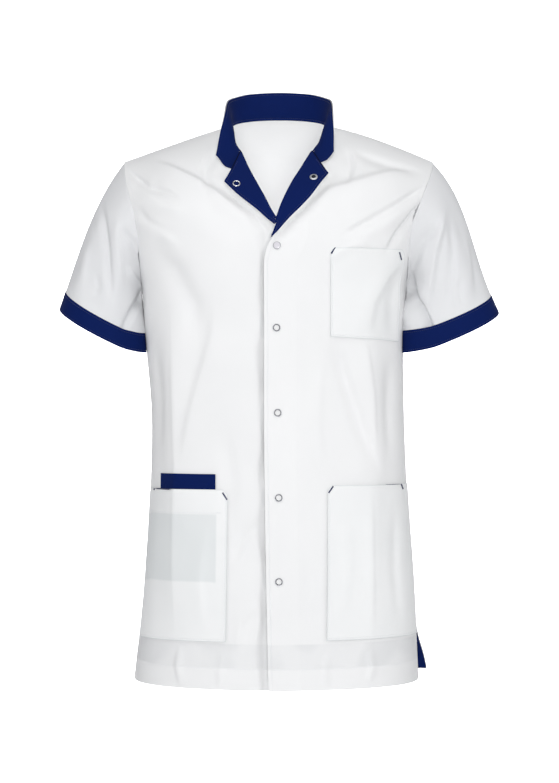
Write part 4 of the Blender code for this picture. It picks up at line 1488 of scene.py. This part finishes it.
@dataclass
class Pockets:
    """The chest pocket, the two lower pockets and the navy pocket behind one of them."""

    stitch_in: float = 2.6
    plans: tuple[PocketPlan, ...] = (
        PocketPlan("pocket_chest", "left", (0.122, 0.122), 0.0148, (
            Tack((75.6, -176.4), (70.4, -185.4)), Tack((165.6, -180.6), (168.8, -191.6))),
            closed=1.0, sunk=0.8),
        PocketPlan("pocket_lower_left", "left", (0.166, 0.212), 0.0343, (
            Tack((73.4, -502.2), (67.0, -511.4)), Tack((168.6, -500.8), (171.8, -508.6)))),
        PocketPlan("pocket_lower_right", "right", (0.156, 0.207), 0.0315, (
            Tack((-77.8, -511.0), (-71.5, -521.0)), Tack((-172.0, -504.4), (-174.8, -510.0))),
            (Band("from_top", 34.0, 126.0, -0.38, 0.1, "from_inner", 15.0, 2.0),), mouth_line=32.0),
    )

    def build(self, frame: dict[str, Any]) -> None:
        """Shapes, sews and dresses the pockets.
        """
        for plan in self.plans:
            self._patch(frame, plan)
        inner = Panel("cloth_pocket_inner", "pocket_inner", TORSO, navy("inner_pocket", 12.0, 0.25),
                      (0.09, 0.15), 0.0135, BODY_CREASES, slot=Slot.NAVY, rests_on=("cloth_front_right",))
        inner.shape(frame).dress()

    def _patch(self, frame: dict[str, Any], plan: PocketPlan) -> None:
        """One patch pocket with its edge stitching and its bars.

        Args:
            plan: The pocket's sizes.
        """
        sign = SIDES[plan.side]
        # Painted shade: a thin darker line along the whole edge of each pocket.
        bands = (Band("edge", BEFORE_EDGE, 0.8, -0.5, 0.0),) + plan.bands
        finish = Poplin("white_poplin_" + plan.name, bands, (Groove("edge", self.stitch_in),), SHOWN_THROUGH_AND_EDGE_SHADE,
                        base=0.75)
        panel = Panel("cloth_" + plan.name, plan.name, TORSO, finish, plan.flat, plan.area, BODY_CREASES,
                      level=3, rests_on=("cloth_front_" + plan.side,))
        panel.shape(frame)
        mouth = panel.rim.run(self._in_mouth)
        panel.press(lambda points, normals: -plan.closed * np.exp(-mouth.distances(points * MM) / 10.0))
        panel.press(lambda points, normals: np.full(len(points), -plan.sunk))
        top = panel.rim.run(self._in_mouth)
        if plan.bands:
            panel.measure("from_top", top)
            panel.measure("from_inner", panel.rim.run(lambda p, w: w[:, 0] * sign > 0.75))
        sewn = panel.rim.run(lambda p, w: w[:, 2] > -0.55)
        surface = panel.surface()
        white = Seamwork("stitches_" + plan.name, WHITE_THREAD, Slot.WHITE)
        white.along(sewn.inset(self.stitch_in, 2.0), surface, TORSO.outward)
        if plan.mouth_line:
            white.along(top.inset(plan.mouth_line, 6.0), surface, TORSO.outward)
        bars = Seamwork("bars_" + plan.name, NAVY_THREAD, Slot.NAVY, width=0.75)
        for tack in plan.tacks:
            self._bar(bars, tack, panel)
        panel.dress()
        white.sew()
        bars.sew()

    @staticmethod
    def _in_mouth(places: np.ndarray, inward: np.ndarray) -> np.ndarray:
        """Says which points of a pocket's rim are on its mouth, by the directions into the pocket."""
        return inward[:, 2] < -0.8

    @staticmethod
    def _bar(bars: Seamwork, tack: Tack, panel: Panel) -> None:
        """Lays a bar of close crosswise stitches on a pocket.

        Args:
            bars: The piece of thread that gets them.
            tack: The bar's ends.
            panel: The pocket.
        """
        surface = panel.surface()
        start, end = np.array(tack.start), np.array(tack.end)
        length = float(np.linalg.norm(end - start))
        way = (end - start) / length
        across = np.array([-way[1], way[0]])
        starts, stops = [], []
        for step in np.arange(0.3, length, 0.62):
            spot = start + way * step
            for sign, store in ((-1.0, starts), (1.0, stops)):
                x, z = spot + across * sign * tack.width / 2.0
                found = surface.ray_cast(Vector((x * MM, -0.6, z * MM)), Vector((0.0, 1.0, 0.0)))[0]
                if found is None:
                    found = surface.find_nearest(Vector((x * MM, -0.11, z * MM)))[0]
                store.append(np.array(found))
        bars.between(np.array(starts), np.array(stops), surface, TORSO.outward)


class SnapKind(Enum):
    """The face of a snap that shows."""

    RING = "ring"
    CAP = "cap"
    SOCKET = "socket"


@dataclass
class Snap:
    """One snap half on the cloth, in place of its node."""

    node: str
    kind: SnapKind
    radius: float
    carrier: Panel
    roll: float = 0.5
    drop: float = 0.0
    metal: NickelledBrass = NickelledBrass("nickel_plated_brass", "#A2A3A8", 0.34)
    # Painted shade: a dark copy of the plating for the ring's inner lip and the socket's hole.
    shadow: NickelledBrass = NickelledBrass("nickel_plated_brass_painted_shade", "#3C3D42", 0.5)
    pearl: PearlCap = PearlCap("pearl_acetal", "#E2E0E5", "#CDCAD2")
    squash: float = 0.8
    lift: float = 0.1

    def build(self) -> None:
        """Models the snap at its node's place, lying on its cloth."""
        low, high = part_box(self.node)
        centre = (low + high) / 2.0 - Vector((0.0, 0.0, self.drop * MM))
        spot, normal, _, _ = self.carrier.surface().find_nearest(centre)
        if normal.y > 0.0:
            normal = -normal
        makers = {SnapKind.RING: self._ring, SnapKind.CAP: self._cap, SnapKind.SOCKET: self._socket}
        piece = makers[self.kind]()
        piece.name = self.node + "_detail"
        piece.data.name = piece.name
        turn = Vector((0.0, 0.0, 1.0)).rotation_difference(normal)
        piece.rotation_mode = "QUATERNION"
        piece.rotation_quaternion = turn
        piece.location = spot + normal * self.lift * MM
        only(piece)
        apply_place()
        bpy.ops.object.shade_smooth_by_angle(angle=SNAP_ANGLE)
        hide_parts(self.node)
        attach(piece, BODY)
        LOG.info("%s: %s", piece.name, self.kind.value)

    def _torus(self, outer: float, wire: float, height: float) -> bpy.types.Object:
        """A rolled ring lying level.

        Args:
            outer: Its outer radius.
            wire: The radius of its roll.
            height: Its middle's height above the cloth.

        Returns:
            The ring.
        """
        only()
        bpy.ops.mesh.primitive_torus_add(
            major_segments=40, minor_segments=12, major_radius=(outer - wire) * MM, minor_radius=wire * MM,
            location=(0.0, 0.0, height * MM))
        ring = bpy.context.object
        ring.scale = (1.0, 1.0, self.squash)
        apply_place()
        return ring

    def _join(self, pieces: list[tuple[bpy.types.Object, bpy.types.Material]]) -> bpy.types.Object:
        """Joins the parts of a snap, each with its own finish.

        Args:
            pieces: The parts and their materials.

        Returns:
            The whole snap.
        """
        for piece, material in pieces:
            piece.data.materials.clear()
            piece.data.materials.append(material)
        only(pieces[0][0])
        for piece, _ in pieces[1:]:
            piece.select_set(True)
        bpy.ops.object.join()
        return pieces[0][0]

    def _ring(self) -> bpy.types.Object:
        """An open prong ring: a rolled rim, an inner lip in a dark metal that is painted shade, and the
        cloth showing in the middle.
        """
        metal = self.metal.material()
        rim = self._torus(self.radius, self.roll, 0.75)
        lip = self._torus(self.radius - self.roll * 1.6, 0.42, 0.45)
        return self._join([(rim, metal), (lip, self.shadow.material())])

    def _dome(self, radius: float, height: float, base: float) -> bpy.types.Object:
        """A shallow dome with its flat side down.

        Args:
            radius: Its radius.
            height: Its rise.
            base: The height of its flat side above the cloth.

        Returns:
            The dome.
        """
        only()
        bpy.ops.mesh.primitive_uv_sphere_add(segments=32, ring_count=16, radius=radius * MM)
        dome = bpy.context.object
        with editing(dome):
            bpy.ops.mesh.bisect(plane_co=(0.0, 0.0, 0.0), plane_no=(0.0, 0.0, 1.0), clear_inner=True,
                                use_fill=True)
        dome.scale = (1.0, 1.0, height / radius)
        dome.location = (0.0, 0.0, base * MM)
        apply_place()
        return dome

    def _cap(self) -> bpy.types.Object:
        """A pearl cap held in a metal rim."""
        rim = self._torus(self.radius, 0.45, 0.4)
        dome = self._dome(self.radius - 0.55, 0.9, 0.35)
        return self._join([(rim, self.metal.material()), (dome, self.pearl.material())])

    def _socket(self) -> bpy.types.Object:
        """A socket disc with a rolled rim round its hole, whose dark metal is painted shade."""
        only()
        bpy.ops.mesh.primitive_cylinder_add(vertices=40, radius=(self.radius - 0.3) * MM, depth=1.0 * MM,
                                            location=(0.0, 0.0, 0.55 * MM))
        disc = bpy.context.object
        with editing(disc, "DESELECT"):
            form = bmesh.from_edit_mesh(disc.data)
            for face in form.faces:
                face.select_set(face.normal.z > 0.9)
            bmesh.update_edit_mesh(disc.data)
            bpy.ops.mesh.inset(thickness=1.1 * MM)
            bpy.ops.transform.translate(value=(0.0, 0.0, 0.35 * MM))
            bpy.ops.mesh.inset(thickness=1.4 * MM)
            bpy.ops.mesh.extrude_region_move(TRANSFORM_OT_translate={"value": (0.0, 0.0, -1.1 * MM)})
        apply_place()
        rim = self._torus(self.radius, 0.6, 0.7)
        eye = self._torus(self.radius - 2.4, 0.35, 1.2)
        metal = self.metal.material()
        whole = self._join([(disc, metal), (rim, metal), (eye, metal)])
        # The faces within the eye get the painted-shade metal.
        whole.data.materials.append(self.shadow.material())
        for polygon in whole.data.polygons:
            if math.hypot(polygon.center.x, polygon.center.y) < (self.radius - 2.5) * MM:
                polygon.material_index = len(whole.data.materials) - 1
        return whole


@dataclass
class Studio:
    """The camera, the paper sweep and the soft lights."""

    camera_distance: float = 3.5
    camera_height: float = -0.373
    lens: float = 114.1
    floor_height: float = -3.4
    sweep_depth: float = 9.0
    floor_size: float = 24.0
    wall_height: float = 12.0
    key_power: float = 69.5
    fill_power: float = 19.0
    top_power: float = 17.0
    neck_power: float = 0.235
    backdrop_power: float = 240.0
    world_strength: float = 0.36

    def build(self) -> None:
        """Sets up the whole studio."""
        self._camera()
        self._sweep()
        self._lights()

    def _camera(self) -> None:
        """Level camera straight in front, at the garment's middle height."""
        data = bpy.data.cameras.new("camera")
        data.lens = self.lens
        data.sensor_width = 36.0
        camera = add_object("camera", data)
        camera.location = (0.0, -self.camera_distance, self.camera_height)
        camera.rotation_euler = (math.pi / 2.0, 0.0, 0.0)
        bpy.context.scene.camera = camera

    def _sweep(self) -> None:
        """A pale floor that curves up behind the garment."""
        half = self.floor_size / 2.0
        only()
        bpy.ops.mesh.primitive_plane_add(size=self.floor_size,
                                         location=(0.0, self.sweep_depth - half, self.floor_height))
        paper = bpy.context.object
        paper.name = "studio_paper"
        with editing(paper, "DESELECT"):
            bpy.ops.mesh.select_mode(type="EDGE")
            form = bmesh.from_edit_mesh(paper.data)
            for edge in form.edges:
                edge.select_set(all(v.co.y > half - 0.1 for v in edge.verts))
            bmesh.update_edit_mesh(paper.data)
            bpy.ops.mesh.extrude_region_move(TRANSFORM_OT_translate={"value": (0.0, 0.0, self.wall_height)})
        apply_modifier(paper, "BEVEL", width=1.1, segments=16, angle_limit=math.radians(40))
        apply_place()
        bpy.ops.object.shade_smooth()
        paper.data.materials.append(StudioPaper("seamless_paper", "#FBFBFC").material())

    def _lights(self) -> None:
        """A key low in front, fills at the sides, lamps on the paper and in the neck, and a surround."""
        middle = (0.0, 0.0, -0.4)
        self._area("key", (0.1, -3.9, -0.42), middle, 1.3, self.key_power)
        self._area("fill_left", (-3.0, -1.6, 0.2), middle, 2.0, self.fill_power)
        self._area("fill_right", (3.0, -1.6, 0.4), middle, 2.0, self.fill_power * 1.2)
        self._area("top", (0.0, -1.4, 2.0), (0.0, 0.0, -0.2), 1.6, self.top_power)
        self._area("backdrop_left", (-2.6, 6.4, -0.4), (-1.8, 9.0, -0.4), 2.4, self.backdrop_power)
        self._area("backdrop_right", (2.6, 6.4, -0.4), (1.8, 9.0, -0.4), 2.4, self.backdrop_power)
        self._area("inside_neck", (0.0, -0.03, -0.26), (0.0, 0.08, -0.08), 0.1, self.neck_power)
        world = bpy.data.worlds.new("studio_surround")
        world.use_nodes = True
        background = world.node_tree.nodes["Background"]
        background.inputs["Color"].default_value = linear("#F8F9FB")
        background.inputs["Strength"].default_value = self.world_strength
        bpy.context.scene.world = world
        bpy.context.scene.view_settings.view_transform = "Standard"

    @staticmethod
    def _area(name: str, place: tuple[float, float, float], target: tuple[float, float, float], size: float,
              power: float) -> None:
        """One soft box turned to a target.

        Args:
            name: The light's name.
            place: Where it stands.
            target: What it looks at.
            size: The length of its side.
            power: Its output in watts.
        """
        data = bpy.data.lights.new(name, "AREA")
        data.energy = power
        data.size = size
        lamp = add_object(name, data)
        lamp.location = place
        way = Vector(target) - Vector(place)
        lamp.rotation_euler = way.to_track_quat("-Z", "Y").to_euler()


def main() -> None:
    """Builds every sub-assembly in order and reports each piece."""
    logging.basicConfig(level=logging.INFO, format="%(name)s %(message)s")
    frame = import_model()
    Studio().build()
    fronts = Fronts()
    fronts.build(frame)
    rear = Rear()
    rear.build(frame)
    Sleeves().build(frame, fronts, rear)
    collar = Collar()
    collar.build(frame)
    Pockets().build(frame)
    kinds = [SnapKind.CAP] + [SnapKind.RING] * 4
    snaps = [Snap(f"snap_front_{index}", kind, 5.4, fronts.panels["left"])
             for index, kind in enumerate(kinds, 1)]
    # The lapel snaps have lighter copies of the plating than the front rings.
    snaps.append(Snap("snap_lapel_right", SnapKind.RING, 5.5, collar.facings["right"], roll=0.85, drop=3.2,
                      metal=NickelledBrass("nickel_plated_brass_lighter", "#DCDEE3", 0.2)))
    snaps.append(Snap("snap_lapel_left", SnapKind.SOCKET, 5.6, collar.facings["left"], roll=0.62, drop=3.4,
                      metal=NickelledBrass("nickel_plated_brass_mid_grey", "#BCBEC3", 0.36)))
    for snap in snaps:
        snap.build()


if __name__ == "__main__":
    main()
